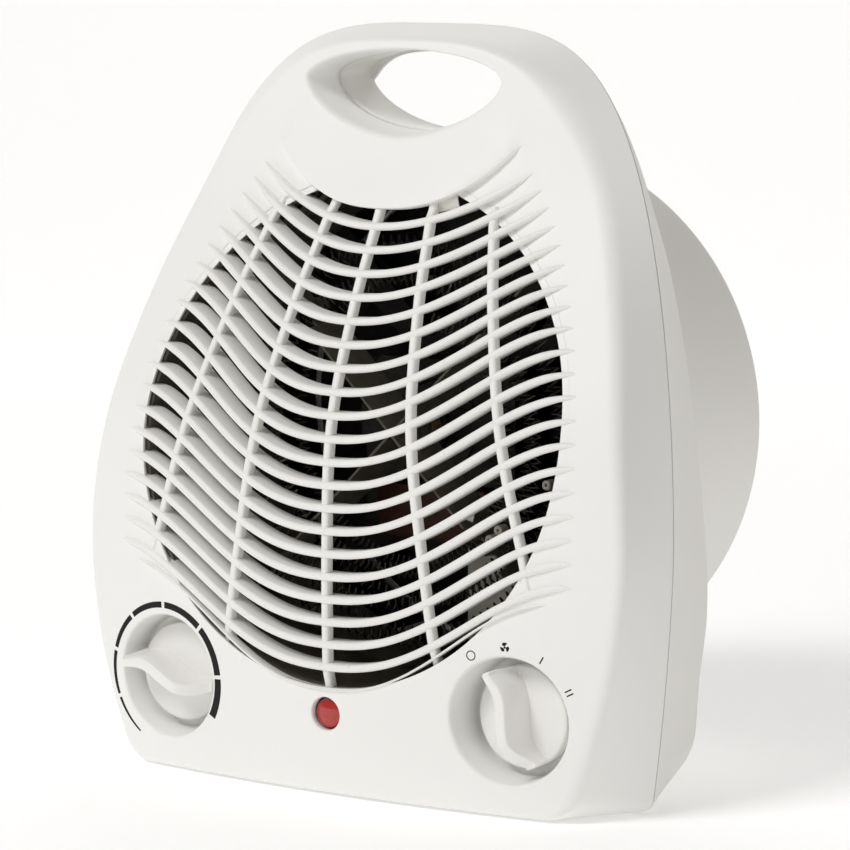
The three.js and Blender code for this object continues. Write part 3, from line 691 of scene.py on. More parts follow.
def hand_hole(grow: Array | float, steps: int = 26) -> Array:
    """The carrying hole's outline as (x, z): a shallow superellipse above, a deeper one below.

    Args:
        grow: how far outside the hole's own edge, one value or one for each point.
        steps: points on a quarter.

    Returns:
        Four times ``steps`` points, anticlockwise from the right-hand end.
    """
    a = np.linspace(0, 2 * math.pi, 4 * steps, endpoint=False)
    cos, sin = np.cos(a), np.sin(a)
    power = np.where(sin >= 0, 2 / 1.9, 2 / 1.7)
    reach = np.where(sin >= 0, HOLE_UP, HOLE_DOWN)
    x = signed_power(cos, power) * (HOLE_HALF + grow)
    z = HOLE_Z + signed_power(sin, power) * (reach + grow)
    return np.stack([x, z], -1)


def hand_rim(scale: float = 1.0) -> Array:
    """The width of the hole's rounded rim at each of its points: narrow above, wide below."""
    sin = np.sin(np.linspace(0, 2 * math.pi, 104, endpoint=False))
    return scale * (1.9 - 0.7 * np.clip(sin, 0, 1) + 0.7 * np.clip(-sin, 0, 1))


def ring(x: float, z: float, radius: float, sides: int = 96) -> Array:
    """A circle as (x, z), clockwise from its top."""
    a = np.linspace(0, 2 * math.pi, sides, endpoint=False)
    return np.stack([x + radius * np.sin(a), z + radius * np.cos(a)], -1)


def raised(loop: Array, y: Array) -> Array:
    """A loop of (x, z) with its depths, as 3-D points."""
    return np.stack([loop[:, 0], np.broadcast_to(y, len(loop)), loop[:, 1]], -1)


def inward(loop: Array) -> Array:
    """Unit normals of a closed loop, pointing inside it.

    Args:
        loop: points (x, z), anticlockwise.

    Returns:
        A normal for each point.
    """
    along = np.roll(loop, -1, 0) - np.roll(loop, 1, 0)
    normal = np.stack([-along[:, 1], along[:, 0]], -1)
    return normal / np.linalg.norm(normal, axis=1)[:, None]


def bend(start: Array, corner: Array, end: Array, steps: int = 9) -> Array:
    """Rows of points on the quadratic curves from start, towards corner, to end."""
    t = np.linspace(0, 1, steps)[:, None, None]
    return (1 - t) ** 2 * start + 2 * t * (1 - t) * corner + t * t * end


def inside(points: Array, loop: Array) -> Array:
    """Finds which points lie inside a closed loop, by counting the edges to one side of each.

    Args:
        points: points (x, z).
        loop: the loop's points.

    Returns:
        True for each point inside.
    """
    a, b = loop, np.roll(loop, -1, 0)
    px, pz = points[:, :1], points[:, 1:]
    spans = (a[:, 1] > pz) != (b[:, 1] > pz)
    run = (b[:, 1] - a[:, 1])[None, :]
    at = a[:, 0] + (pz - a[:, 1]) * (b[:, 0] - a[:, 0]) / np.where(run == 0, 1e-9, run)
    return (spans & (px < at)).sum(1) % 2 == 1


def panel(
    outer: Array,
    holes: Sequence[Array],
    lines: Sequence[Array],
    depth: Callable[[Array, Array], Array],
    pitch: float = 2.5,
) -> Surface:
    """A panel over the X-Z plane: a triangle net inside one outline and outside the holes.

    Args:
        outer: the closed outline.
        holes: closed outlines left open.
        lines: open lines of points that the net must follow.
        depth: gives y for x and z.
        pitch: spacing of the net's inner points.

    Returns:
        The panel, with every outline's points on its rims.
    """
    low, high = outer.min(0), outer.max(0)
    xs = np.arange(low[0] + pitch / 2, high[0], pitch)
    zs = np.arange(low[1] + pitch / 2, high[1], pitch * 0.866)
    gx, gz = np.meshgrid(xs, zs)
    gx = gx + np.where(np.arange(len(zs)) % 2, pitch / 2, 0)[:, None]
    net = np.stack([gx.ravel(), gz.ravel()], -1)
    net = net[inside(net, outer)]
    for hole in holes:
        net = net[~inside(net, hole)]
    for line in [outer, *holes, *lines]:
        near = np.full(len(net), np.inf)
        for part in np.array_split(line, max(len(line) // 60, 1)):
            near = np.minimum(near, np.linalg.norm(net[:, None] - part[None], axis=2).min(1))
        net = net[near > 0.55 * pitch]
    points, edges = [net], []
    count = len(net)
    for line, closed in [(outer, True), *[(h, True) for h in holes], *[(p, False) for p in lines]]:
        k = np.arange(len(line))
        pairs = np.stack([k, (k + 1) % len(line)], -1) + count
        edges += (pairs if closed else pairs[:-1]).tolist()
        points.append(line)
        count += len(line)
    flat = [Vector(p) for p in np.concatenate(points).tolist()]
    made = delaunay_2d_cdt(flat, edges, [], 0, 1e-6)
    spots, faces = np.array([tuple(v) for v in made[0]]), np.array(made[2])
    middle = spots[faces].mean(1)
    keep = inside(middle, outer)
    for hole in holes:
        keep &= ~inside(middle, hole)
    x, z = spots.T
    return Surface(np.stack([x, depth(x, z), z], -1), faces[keep].tolist())


def outlet_loop() -> Array:
    """The outlet's edge: the circle, cut off at the top by the lip.

    Returns:
        The closed loop as (x, z).
    """
    top = math.atan2(LIP_CROSS_X, math.sqrt(OUTLET_R**2 - LIP_CROSS_X**2))
    a = np.linspace(top, 2 * math.pi - top, 200)
    arc = np.stack([OUTLET_R * np.sin(a), OUTLET_Z + OUTLET_R * np.cos(a)], -1)
    x = np.linspace(-LIP_CROSS_X, LIP_CROSS_X, 34)[1:-1]
    return np.concatenate([arc, np.stack([x, lip_z(x)], -1)])


def turned_in(seam: Array, deep: float) -> Array:
    """A shell's edge at the seam, drawn in by 0.4% towards the middle and moved ``deep`` along Y."""
    middle = np.array([0.0, 0.0, 114.0])
    return seam - (seam - middle) * [0.004, 0, 0.004] + [0, deep, 0]


# ---------------------------------------------------------------- front cover
@dataclass
class FrontCover:
    """The front shell: the swept face with its rounded edge, the openings in it and the side walls."""

    edge: float = 3.7
    edge_at_top: float = 2.1
    bowl_rim: float = 1.1
    lamp_rim: float = 0.7
    collar: tuple[tuple[float, float], ...] = ((82.0, 3.2), (83.4, 3.2), (83.4, 4.4), (82.9, 4.6))
    collar_back: float = -16.5

    def edge_width(self, z: Array) -> Array:
        """How wide the rounded edge is on the face: less at the base and over the carrying hole."""
        width = self.edge + (self.edge_at_top - self.edge) * smooth((z - 222) / 20)
        return width * (0.55 + 0.45 * smooth((z - FACE_EDGE.base) / 10))

    def face_rim(self) -> Array:
        """The face's outline inside its rounded edge, as (x, z)."""
        loop = FACE_EDGE.loop()
        return loop + inward(loop) * self.edge_width(loop[:, 1])[:, None]

    def face(self) -> Surface:
        """The face, open at the outlet, the carrying hole, both dial bowls and the lamp.

        Returns:
            The panel, its net following the lip's edge.
        """
        x = np.linspace(-LIP_X - 1, LIP_X + 1, 76)
        steps = [np.stack([x, lip_z(x) + up], -1) for up in (0.12, 0.36, 0.72, 1.2)]
        foot = [np.stack([x[x * s > 29], lip_z(x[x * s > 29])], -1) for s in (-1, 1)]
        holes = [outlet_loop(), hand_hole(hand_rim()), ring(0, LAMP_Z, LAMP_R + 0.5 + self.lamp_rim, 48)]
        holes += [ring(s * DIAL_X, DIAL_Z, BOWL_R + self.bowl_rim) for s in (-1, 1)]
        return panel(self.face_rim(), holes, [*steps, *foot], front_y)

    def side(self) -> Surface:
        """The rounded edge and the side wall back to the seam, which turns in a little.

        Returns:
            The band round the face.
        """
        loop, rim = FACE_EDGE.loop(), self.face_rim()
        seam_loop = SEAM.loop()
        sharp = raised(loop, face_y(*loop.T))
        seam = raised(seam_loop, seam_y(seam_loop[:, 1]) - SEAM_GAP)
        run = seam - sharp
        length = np.linalg.norm(run, axis=1)[:, None]
        width = self.edge_width(loop[:, 1])[:, None] * (1.15 + 1.6 * smooth((loop[:, 1:] - 200) / 40))
        start = raised(rim, face_y(*rim.T))
        end = sharp + run * np.minimum(width / length, 0.6)
        rows = bend(start, sharp, end, 10)
        t = np.linspace(0, 1, 12)[1:, None, None]
        wall = end + t * (seam - end)
        return grid(np.concatenate([rows, wall, turned_in(seam, 0.25)[None]]), around=True)

    def carrying_tunnel(self) -> Surface:
        """The carrying hole's rounded rim and its wall back to the seam, which narrows by 0.8 mm.

        Returns:
            The wall of the hole's front half.
        """
        outer, edge = hand_hole(hand_rim()), hand_hole(0.0)
        start = raised(outer, front_y(*outer.T))
        corner = raised(edge, front_y(*edge.T))
        deep = hand_hole(-0.15)
        end = raised(deep, front_y(*edge.T) + hand_rim(1.3))
        narrow = hand_hole(-0.8)
        seam = raised(narrow, seam_y(narrow[:, 1]) - SEAM_GAP)
        t = np.linspace(0, 1, 7)[1:, None, None]
        return grid(np.concatenate([bend(start, corner, end), end + t * (seam - end)]), around=True)

    def bowl(self, side: int) -> Surface:
        """A dial bowl: a rounded rim on the face, a wall that narrows by 1 mm and a flat floor.

        Args:
            side: -1 for the left bowl, 1 for the right one.

        Returns:
            The bowl, open where the spindle passes.
        """
        x = side * DIAL_X
        floor = float(face_y(np.array(DIAL_X), np.array(DIAL_Z))) + BOWL_DEEP
        outer, edge = ring(x, DIAL_Z, BOWL_R + self.bowl_rim), ring(x, DIAL_Z, BOWL_R)
        start, corner = raised(outer, face_y(*outer.T)), raised(edge, face_y(*edge.T))
        end = raised(ring(x, DIAL_Z, BOWL_R - 0.05), face_y(*edge.T) + 1.6 * self.bowl_rim)
        t = np.linspace(0, 1, 6)[1:, None, None]
        low = raised(ring(x, DIAL_Z, BOWL_R - 1.0), floor - 1.2)
        base = [raised(ring(x, DIAL_Z, r), floor) for r in (BOWL_R - 2.2, 12.0, 4.6, 3.6)]
        corner_low = raised(ring(x, DIAL_Z, BOWL_R - 1.05), floor)
        rows = [bend(start, corner, end), end + t * (low - end), bend(low, corner_low, base[0], 5)]
        return grid(np.concatenate([*rows, np.array(base)]), around=True)

    def lamp_recess(self) -> Surface:
        """The lamp's hole: a small rounded rim and a straight wall 4.5 mm deep.

        Returns:
            The hole's wall.
        """
        r = LAMP_R + 0.5
        outer, edge = ring(0, LAMP_Z, r + self.lamp_rim, 48), ring(0, LAMP_Z, r, 48)
        start, corner = raised(outer, face_y(*outer.T)), raised(edge, face_y(*edge.T))
        end = corner + [0, 1.2 * self.lamp_rim, 0]
        rows = bend(start, corner, end, 6)
        return grid(np.concatenate([rows, (end + [0, 4.5, 0])[None]]), around=True)

    def outlet_wall(self) -> Surface:
        """The wall behind the outlet's crisp edge, 1.2 mm deep.

        Returns:
            The wall all round the outlet.
        """
        loop = outlet_loop()
        rows = [raised(loop, front_y(*loop.T))]
        rows += [raised(loop, face_y(*loop.T) + deep) for deep in (0.3, 1.2)]
        return grid(np.array(rows), around=True)

    def build(self) -> None:
        """Makes the front cover from its surfaces and the collar behind the outlet."""
        surfaces = [self.face(), self.side(), self.carrying_tunnel()]
        surfaces += [self.lamp_recess(), self.outlet_wall()]
        surfaces += [self.bowl(side) for side in (-1, 1)]
        add_piece(
            "front_shell",
            surfaces,
            SHELL,
            stands_for=["front_cover"],
            wall=SHELL_WALL,
        )
        rows = []
        for radius, back in self.collar:
            loop = ring(0, OUTLET_Z, radius, 128)
            rows.append(raised(loop, face_y(*loop.T) + back))
        rows.append(raised(loop, self.collar_back))
        # The collar's dark grey is painted shade.
        add_piece("outlet_collar", [grid(np.array(rows), around=True)], DUCT_SHADED, wall=0.9)


# ---------------------------------------------------------------- rear cover
@dataclass
class RearCover:
    """The rear shell with the drum round the fan, the upper screws' wells, the legs and the seam."""

    drum_edge: float = 4.0
    drum_fillet: float = 0.9
    screw_hole: float = 3.6
    leg_x: float = 40.0
    leg_y: float = 31.5

    def edge_width(self, z: Array) -> Array:
        """The back edge's rounding: narrow beside the drum, wider above and below it."""
        return 4.6 + 5.0 * smooth((np.abs(z - AXIS_Z) - 55) / 25) - 4.6 * smooth((z - 236) / 8)

    def side(self) -> Surface:
        """The side wall from the seam to the back, ending in the rounded back edge.

        Returns:
            The band round the rear shell.
        """
        seam_loop, back_loop = SEAM.loop(), BACK.loop()
        seam = raised(seam_loop, seam_y(seam_loop[:, 1]) + SEAM_GAP)
        width = self.edge_width(back_loop[:, 1])
        corner = raised(back_loop, back_y(back_loop[:, 1]))
        rim = self.back_rim()
        end = raised(rim, back_y(rim[:, 1]))
        run = seam - corner
        length = np.linalg.norm(run, axis=1)
        start = corner + run * np.minimum(1.5 * width / length, 0.6)[:, None]
        t = np.linspace(0, 1, 9)[:, None, None]
        wall = seam + t * (start - seam)
        rows = [turned_in(seam, -0.25)[None], wall, bend(start, corner, end)[1:]]
        return grid(np.concatenate(rows), around=True)

    def back_rim(self) -> Array:
        """The flat back's outline inside its rounded edge."""
        loop = BACK.loop()
        return loop + inward(loop) * self.edge_width(loop[:, 1])[:, None]

    def back(self) -> Surface:
        """The flat back, open at the carrying hole, the drum, the upper screws and the cord's gland.

        Returns:
            The panel inside the rounded edge.
        """
        holes = [hand_hole(hand_rim(0.8)), ring(0, AXIS_Z, DRUM_R + self.drum_fillet, 160)]
        holes += [ring(side * SCREW_X, SCREW_Z, self.screw_hole + 0.6, 24) for side in (-1, 1)]
        holes.append(ring(GLAND_X, GLAND_Z, GLAND_R + 0.4, 32))
        return panel(self.back_rim(), holes, [], lambda x, z: back_y(z), 3.5)

    def drum(self) -> Surface:
        """The drum: a fillet off the flat back, the cylinder and a rounded rear rim round the intake.

        Returns:
            The drum's outside and the step that holds the intake grille.
        """
        wide = ring(0, AXIS_Z, DRUM_R + self.drum_fillet, 160)
        start = raised(wide, back_y(wide[:, 1]))
        foot = ring(0, AXIS_Z, DRUM_R, 160)
        corner = raised(foot, back_y(foot[:, 1]))
        end = corner + [0, self.drum_fillet, 0]
        fillet = bend(start, corner, end, 5)
        profile = [
            (DRUM_R, 40.0, 0.0),
            (DRUM_R, DRUM_REAR_Y, self.drum_edge),
            (87.8, DRUM_REAR_Y, 1.0),
            (87.2, 57.0, 0.0),
        ]
        edge = [raised(ring(0, AXIS_Z, r, 160), y) for r, y in rounded(profile, 9)]
        return grid(np.concatenate([fillet, np.array(edge)]), around=True)

    def carrying_tunnel(self) -> Surface:
        """The rear half of the carrying hole, with its rounded rim.

        Returns:
            The wall of the hole's rear half.
        """
        narrow = hand_hole(-0.8)
        seam = raised(narrow, seam_y(narrow[:, 1]) + SEAM_GAP)
        edge = hand_hole(0.0)
        outer = hand_hole(hand_rim(0.8))
        corner = raised(edge, back_y(edge[:, 1]))
        start = raised(hand_hole(-0.1), back_y(edge[:, 1]) - hand_rim(1.2))
        end = raised(outer, back_y(outer[:, 1]))
        t = np.linspace(0, 1, 7)[:, None, None]
        wall = seam + t * (start - seam)
        return grid(np.concatenate([wall, bend(start, corner, end)[1:]]), around=True)

    def screw_well(self, x: float, z: float) -> Surface:
        """A sunk screw's well, open at the back.

        Args:
            x: the screw's place.
            z: its height.

        Returns:
            The well's wall and the seat of the screw's head.
        """
        r = self.screw_hole
        y = float(back_y(np.array(z)))
        profile = [(r + 0.6, y, 0), (r, y, 0.5), (r, y - 10.5, 0), (1.7, y - 10.5, 0)]
        return turned(rounded(profile, 4), x, z, 24)

    def leg(self, side: int) -> Surface:
        """A leg under the drum: a rounded, tapered block whose top is hidden in the drum.

        Args:
            side: -1 for the left leg, 1 for the right one.

        Returns:
            The closed leg.
        """
        a = np.linspace(0, 2 * math.pi, 40, endpoint=False)
        cos, sin = signed_power(np.cos(a), 0.45), signed_power(np.sin(a), 0.45)
        rows = []
        for z, grow in [(1.0, -1.0), (1.4, -0.3), (2.4, 0.0), (20.0, 0.4), (37.5, 1.2)]:
            x = side * self.leg_x + cos * (8 + grow)
            y = self.leg_y + sin * (15.5 + grow)
            rows.append(np.stack([x, y, np.full_like(a, z)], -1))
        return capped(np.array(rows))

    def build(self) -> None:
        """Makes the rear shell, the labyrinth edge in the seam and the two legs."""
        surfaces = [self.side(), self.back(), self.drum(), self.carrying_tunnel()]
        surfaces += [self.screw_well(side * SCREW_X, SCREW_Z) for side in (-1, 1)]
        # The rear shell's greyer colour is painted shade.
        add_piece(
            "rear_shell",
            surfaces,
            SHELL_REAR_SHADED,
            stands_for=["rear_cover"],
            wall=SHELL_WALL,
        )
        add_piece("seam_labyrinth", self.labyrinth(), SHELL_REAR_SHADED)
        for side, word in [(-1, "left"), (1, "right")]:
            name, node = f"leg_{word}", f"rear_leg_{word}"
            add_piece(name, [self.leg(side)], SHELL_REAR_SHADED, stands_for=[node])

    def labyrinth(self) -> list[Surface]:
        """The tongues behind the seam that close its gap, round the shells and round the hole.

        Returns:
            Two rings of a square section.
        """
        loop = SEAM.loop()
        outer = [
            raised(loop + inward(loop) * inset, seam_y(loop[:, 1]) + y)
            for inset, y in [(1.3, -2.0), (1.3, 2.0), (2.2, 2.0), (2.2, -2.0)]
        ]
        inner = [
            raised(hand_hole(inset), seam_y(hand_hole(inset)[:, 1]) + y)
            for inset, y in [(0.4, -1.5), (0.4, 1.5), (1.3, 1.5), (1.3, -1.5)]
        ]
        return [grid(np.array(rows), around=True, along=True) for rows in (outer, inner)]


# ---------------------------------------------------------------- outlet grille
@dataclass
class OutletGrille:
    """Twenty-one slats that sweep up to both sides, and the five ribs behind their fronts.

    The lowest slat lies along the outlet's lower edge and hardly stands out of it.
    """

    count: int = 21
    top_z: float = 184.8
    pitch: float = 7.45
    thick: float = 2.55
    depth: float = 8.4
    rib_wide: float = 2.6
    rib_deep: float = 3.9
    rib_back: float = 1.0
    # the leaning ribs: distance from the middle, lean outwards for each mm down, height of that distance
    leaning: tuple[tuple[float, float, float], ...] = ((20.0, 0.152, 188.0), (40.9, 0.276, 195.4))

    def bulge(self, z: Array | float) -> Array:
        """How far the grille bows out of the face at a height."""
        return 5.8 * np.exp(-0.5 * ((z - 152) / 45.6) ** 2)

    def line(self, i: int, x: Array) -> Array:
        """The middle line of slat i's front edge.

        With u = |x| / tip, the height is z0 + rise * ((1 - mix) u^2 + mix sin^2(pi/2 u^1.2)), and the
        front stands (bulge + 0.5) * (1 - u^2) out of the face. The lowest slat rises 1.6 u more.

        Args:
            i: the slat, 0 at the top.
            x: places along it.

        Returns:
            Points (x, y, z).
        """
        z0 = self.top_z - self.pitch * i
        early = max(1 - i / 16, 0.0)
        rise = 33.4 - 13.7 * early**2.6
        mix = min(i / 8, 1.0)
        u = np.minimum(np.abs(x) / self.tip(i), 1)
        bow = np.sin(math.pi / 2 * u**1.2) ** 2
        z = z0 + rise * ((1 - mix) * u * u + mix * bow) + (1.6 * u if self.lowest(i) else 0)
        return np.stack([x, face_y(x, z) - (self.bulge(z0) + 0.5) * (1 - u * u), z], -1)

    def tip(self, i: int) -> float:
        """How far out slat i reaches."""
        return 90.2 - 35.6 * max(1 - i / 16, 0.0) ** 1.8 - (8 if self.lowest(i) else 0)

    def lowest(self, i: int) -> bool:
        """Whether slat i is the lowest one."""
        return i == self.count - 1

    def section(self) -> Array:
        """A slat's section: a round front, then sides that close in backwards.

        Returns:
            Its points as (height, depth).
        """
        h = self.thick / 2
        a = np.linspace(math.pi / 2, -math.pi / 2, 9)
        front = np.stack([h * np.sin(a), h * (1 - np.cos(a))], -1)
        back = np.array([[-0.75 * h, self.depth], [-0.45 * h, self.depth + 0.4]])
        return np.concatenate([front, back, back[::-1] * [-1, 1]])

    def slat(self, i: int) -> Surface:
        """One slat, swept along its line; past the outlet its ends shrink to points on the face.

        Args:
            i: the slat, 0 at the top.

        Returns:
            The closed slat.
        """
        tip = self.tip(i)
        x = tip * np.sin(np.linspace(-math.pi / 2, math.pi / 2, 109))
        points = self.line(i, x)
        along = np.gradient(points, axis=0)
        tall = np.stack([-along[:, 2], np.zeros(len(x)), along[:, 0]], -1)
        tall /= np.linalg.norm(tall, axis=1)[:, None]
        u = np.abs(x) / tip
        slim = np.clip((1 - u) * tip / (8 + 7 * max(1 - i / 16, 0.0)), 0.0, 1) ** 0.5
        sunk = 0.7 * (1 - slim) - 1.15 * smooth((u - 0.5) / 0.35) * slim
        shape = self.section()
        if self.lowest(i):
            slim = 0.3 * slim
        height = shape[None, :, 0] * np.maximum(slim, 0.03)[:, None]
        depth = shape[None, :, 1] * (0.25 + 0.75 * slim)[:, None] + sunk[:, None]
        rows = points[:, None] + height[..., None] * tall[:, None] + depth[..., None] * [0.0, 1.0, 0.0]
        return capped(rows)

    def rib(self, side: int, x0: float, slope: float, top: float) -> Surface:
        """A rib from the lip to the outlet's lower edge, just behind the slats' fronts.

        The outer ribs run on over the face, further below than above.

        Args:
            side: -1 for a rib on the left, 1 for one on the right or in the middle.
            x0: distance from the middle at the height ``top``.
            slope: how far it leans out for each millimetre down.
            top: the height where ``x0`` holds.

        Returns:
            The closed rib.
        """
        stages = 64
        z = np.linspace(36.0, 200.0, 600)
        x = side * (x0 + slope * (top - z))
        reach = np.where(z < OUTLET_Z, 8.5, 3.5) if x0 > 30 else 0.6
        kept = (np.hypot(x, z - OUTLET_Z) < OUTLET_R + reach) & (z < lip_z(x) + 0.6)
        z = np.linspace(z[kept].min(), z[kept].max(), stages)
        x = side * (x0 + slope * (top - z))
        out = self.bulge(z) * np.clip(1 - (x / 90) ** 2, 0, 1)
        out = out + 1.3 * smooth((np.abs(x) - 45) / 12) * smooth((90 - z) / 25)
        y = face_y(x, z) - out + self.rib_back - 0.6
        end = np.minimum(z - z.min(), z.max() - z)
        y = y + 1.5 * (1 - smooth(end / 7)) * (np.hypot(x, z - OUTLET_Z) > OUTLET_R - 9)
        h = self.rib_wide / 2
        a = np.linspace(-math.pi / 2, math.pi / 2, 7)
        front = np.stack([h * np.sin(a), 0.8 * h * (1 - np.cos(a))], -1)
        back = np.array([[0.8 * h, self.rib_deep], [-0.8 * h, self.rib_deep]])
        shape = np.concatenate([front, back])
        high = np.broadcast_to(z[:, None], (stages, len(shape)))
        return capped(np.stack([x[:, None] + shape[:, 0], y[:, None] + shape[:, 1], high], -1))

    def build(self) -> None:
        """Makes the grille: the slats and ribs as one moulding."""
        parts = [self.slat(i) for i in range(self.count)]
        parts.append(self.rib(1, 0.0, 0.0, 0.0))
        parts += [self.rib(side, *lean) for lean in self.leaning for side in (-1, 1)]
        add_piece("outlet_grille", parts, BARS, stands_for=["front_grille"], crease=40)


# ---------------------------------------------------------------- dials
@dataclass
class Dial:
    """A dial in its bowl: a domed disc with a wavy grip that points at the setting."""

    name: str
    x: float
    rest: float  # degrees clockwise from the top that the grip points to
    body: Body
    radius: float = 16.6
    inset: float = 8.6
    thick: float = 4.6
    dome: float = 0.5
    edge: float = 0.9
    grip_high: float = 13.3
    flank: float = 1.1  # how far both sides of the grip run at its foot
    prow: float = 0.4  # how far the pointing end stands out of the disc

    def crest_line(self, u: Array) -> Array:
        """How far the crest lies to the side of the axis: a smooth wave through a few places.

        Args:
            u: places along the grip, towards its pointing end.

        Returns:
            The distance clockwise of the axis at each place.
        """
        stages = [-17.0, -15.5, -13.0, -11.0, -8.2, -6.0, -3.0, 0.5, 4.0, 8.0, 11.5, 15.0]
        aside = [2.4, 1.3, -0.4, -1.1, -1.45, -1.35, -0.6, 0.35, 1.35, 2.0, 1.4, 0.0]
        return Polynomial.fit(stages, aside, 7)(np.clip(u, -17, 16.4))

    def crest_half(self, u: Array) -> Array:
        """Half the width of the crest: 1.9 mm, less at the pointing end, and more at the tail."""
        return 1.9 - 0.4 * smooth((u - 11) / 5) + 0.5 * smooth((-u - 6) / 9)

    def local(self, x: Array, z: Array) -> tuple[Array, Array]:
        """Places in the grip's own axes.

        Args:
            x: places across the heater.
            z: heights.

        Returns:
            How far along the grip, towards its pointing end, and how far across it, clockwise.
        """
        a = math.radians(self.rest)
        px, pz = x - self.x, z - DIAL_Z
        return px * math.sin(a) + pz * math.cos(a), px * math.cos(a) - pz * math.sin(a)

    def grip(self, x: Array, z: Array) -> Array:
        """How far the grip stands out of the disc.

        It has a crest with rounded edges, steep sides and a tail that falls to two fifths of its height.

        Args:
            x: places across the heater.
            z: heights.

        Returns:
            The grip's height at each place.
        """
        u, v = self.local(x, z)
        w = np.abs(v - self.crest_line(u))
        half = self.crest_half(u)
        tail = 1 - 0.6 * smooth((-u - 5) / 12)
        down = np.clip((w - half) / self.flank, 0, 1)
        rounding = np.clip((w - half + 0.7) / 0.7, 0, 1)
        worn = 0.5 * (1 - np.sqrt(1 - rounding**2)) * (1 - down)
        return tail * (self.grip_high * (1 - down) ** 1.2 - worn)

    def depth(self, x: Array, z: Array) -> Array:
        """Depth of the dial's front: the disc's shallow dome with the grip on it."""
        r = np.hypot(x - self.x, z - DIAL_Z) / self.radius
        return self.face + self.dome * r * r - self.grip(x, z)

    @property
    def face(self) -> float:
        """Depth of the disc's middle."""
        return float(face_y(np.array(DIAL_X), np.array(DIAL_Z))) + self.inset

    def outline(self, inset: float) -> Array:
        """The disc's outline with the prow at the grip's pointing end.

        Args:
            inset: how far inside the disc's edge.

        Returns:
            The closed loop as (x, z), clockwise from its top.
        """
        a = np.linspace(0, 2 * math.pi, 200, endpoint=False)
        off = (np.degrees(a) - self.rest + 180) % 360 - 180
        r = self.radius - inset + self.prow * np.exp(-((off / 6.5) ** 2))
        return np.stack([self.x + r * np.sin(a), DIAL_Z + r * np.cos(a)], -1)

    def creases(self) -> list[Array]:
        """The lines beside the crest that the front's net has to follow.

        Returns:
            Open lines as (x, z), inside the dial's rounded edge.
        """
        u = np.linspace(-15.8, 15.8, 60)
        a = math.radians(self.rest)
        lines = []
        for side in (-1, 1):
            for out in (-0.7, -0.3, 0.0, 0.35 * self.flank, self.flank):
                v = self.crest_line(u) + side * (self.crest_half(u) + out)
                x = self.x + u * math.sin(a) + v * math.cos(a)
                z = DIAL_Z + u * math.cos(a) - v * math.sin(a)
                kept = np.hypot(x - self.x, z - DIAL_Z) < self.radius - self.edge - 0.3
                lines.append(np.stack([x[kept], z[kept]], -1))
        return lines

    def build(self) -> None:
        """Makes the dial: its front, the rounded edge, the skirt and the back."""
        rim, edge = self.outline(self.edge), self.outline(0.0)
        front = panel(rim, [], self.creases(), self.depth, 0.5)
        start = raised(rim, self.depth(*rim.T))
        corner = raised(edge, self.depth(*rim.T) + 0.1)
        end = corner + [0, 1.1 * self.edge, 0]
        floor = self.face + self.thick
        base = raised(self.outline(0.1), floor)
        middle = np.array([raised(self.outline(cut), floor) for cut in (3.0, 10.0, 14.0)])
        rows = np.concatenate([bend(start, corner, end, 6), base[None], middle])
        skirt = grid(rows, around=True)
        skirt.faces.append(list(range(len(skirt.points) - len(edge), len(skirt.points))))
        add_piece(
            self.name,
            [front, skirt],
            KNOB,
            self.body,
            stands_for=[self.name.replace("dial", "knob")],
            crease=60,
        )
        self.spindle()

    def spindle(self) -> None:
        """The dial's spindle: a steel rod with a chamfered end, hidden in the dial."""
        front, end = self.face + 1.6, self.face + self.thick + 13.4
        profile = [(0.02, front, 0), (3.0, front, 0.6), (3.0, end, 0.4), (0.02, end, 0)]
        rod = turned(rounded(profile, 3), self.x, DIAL_Z, 32)
        name = {Body.MODE: "switch_spindle", Body.THERMOSTAT: "thermostat_spindle"}[self.body]
        add_piece(f"{name}_rod", [rod], STEEL, self.body, stands_for=[name])


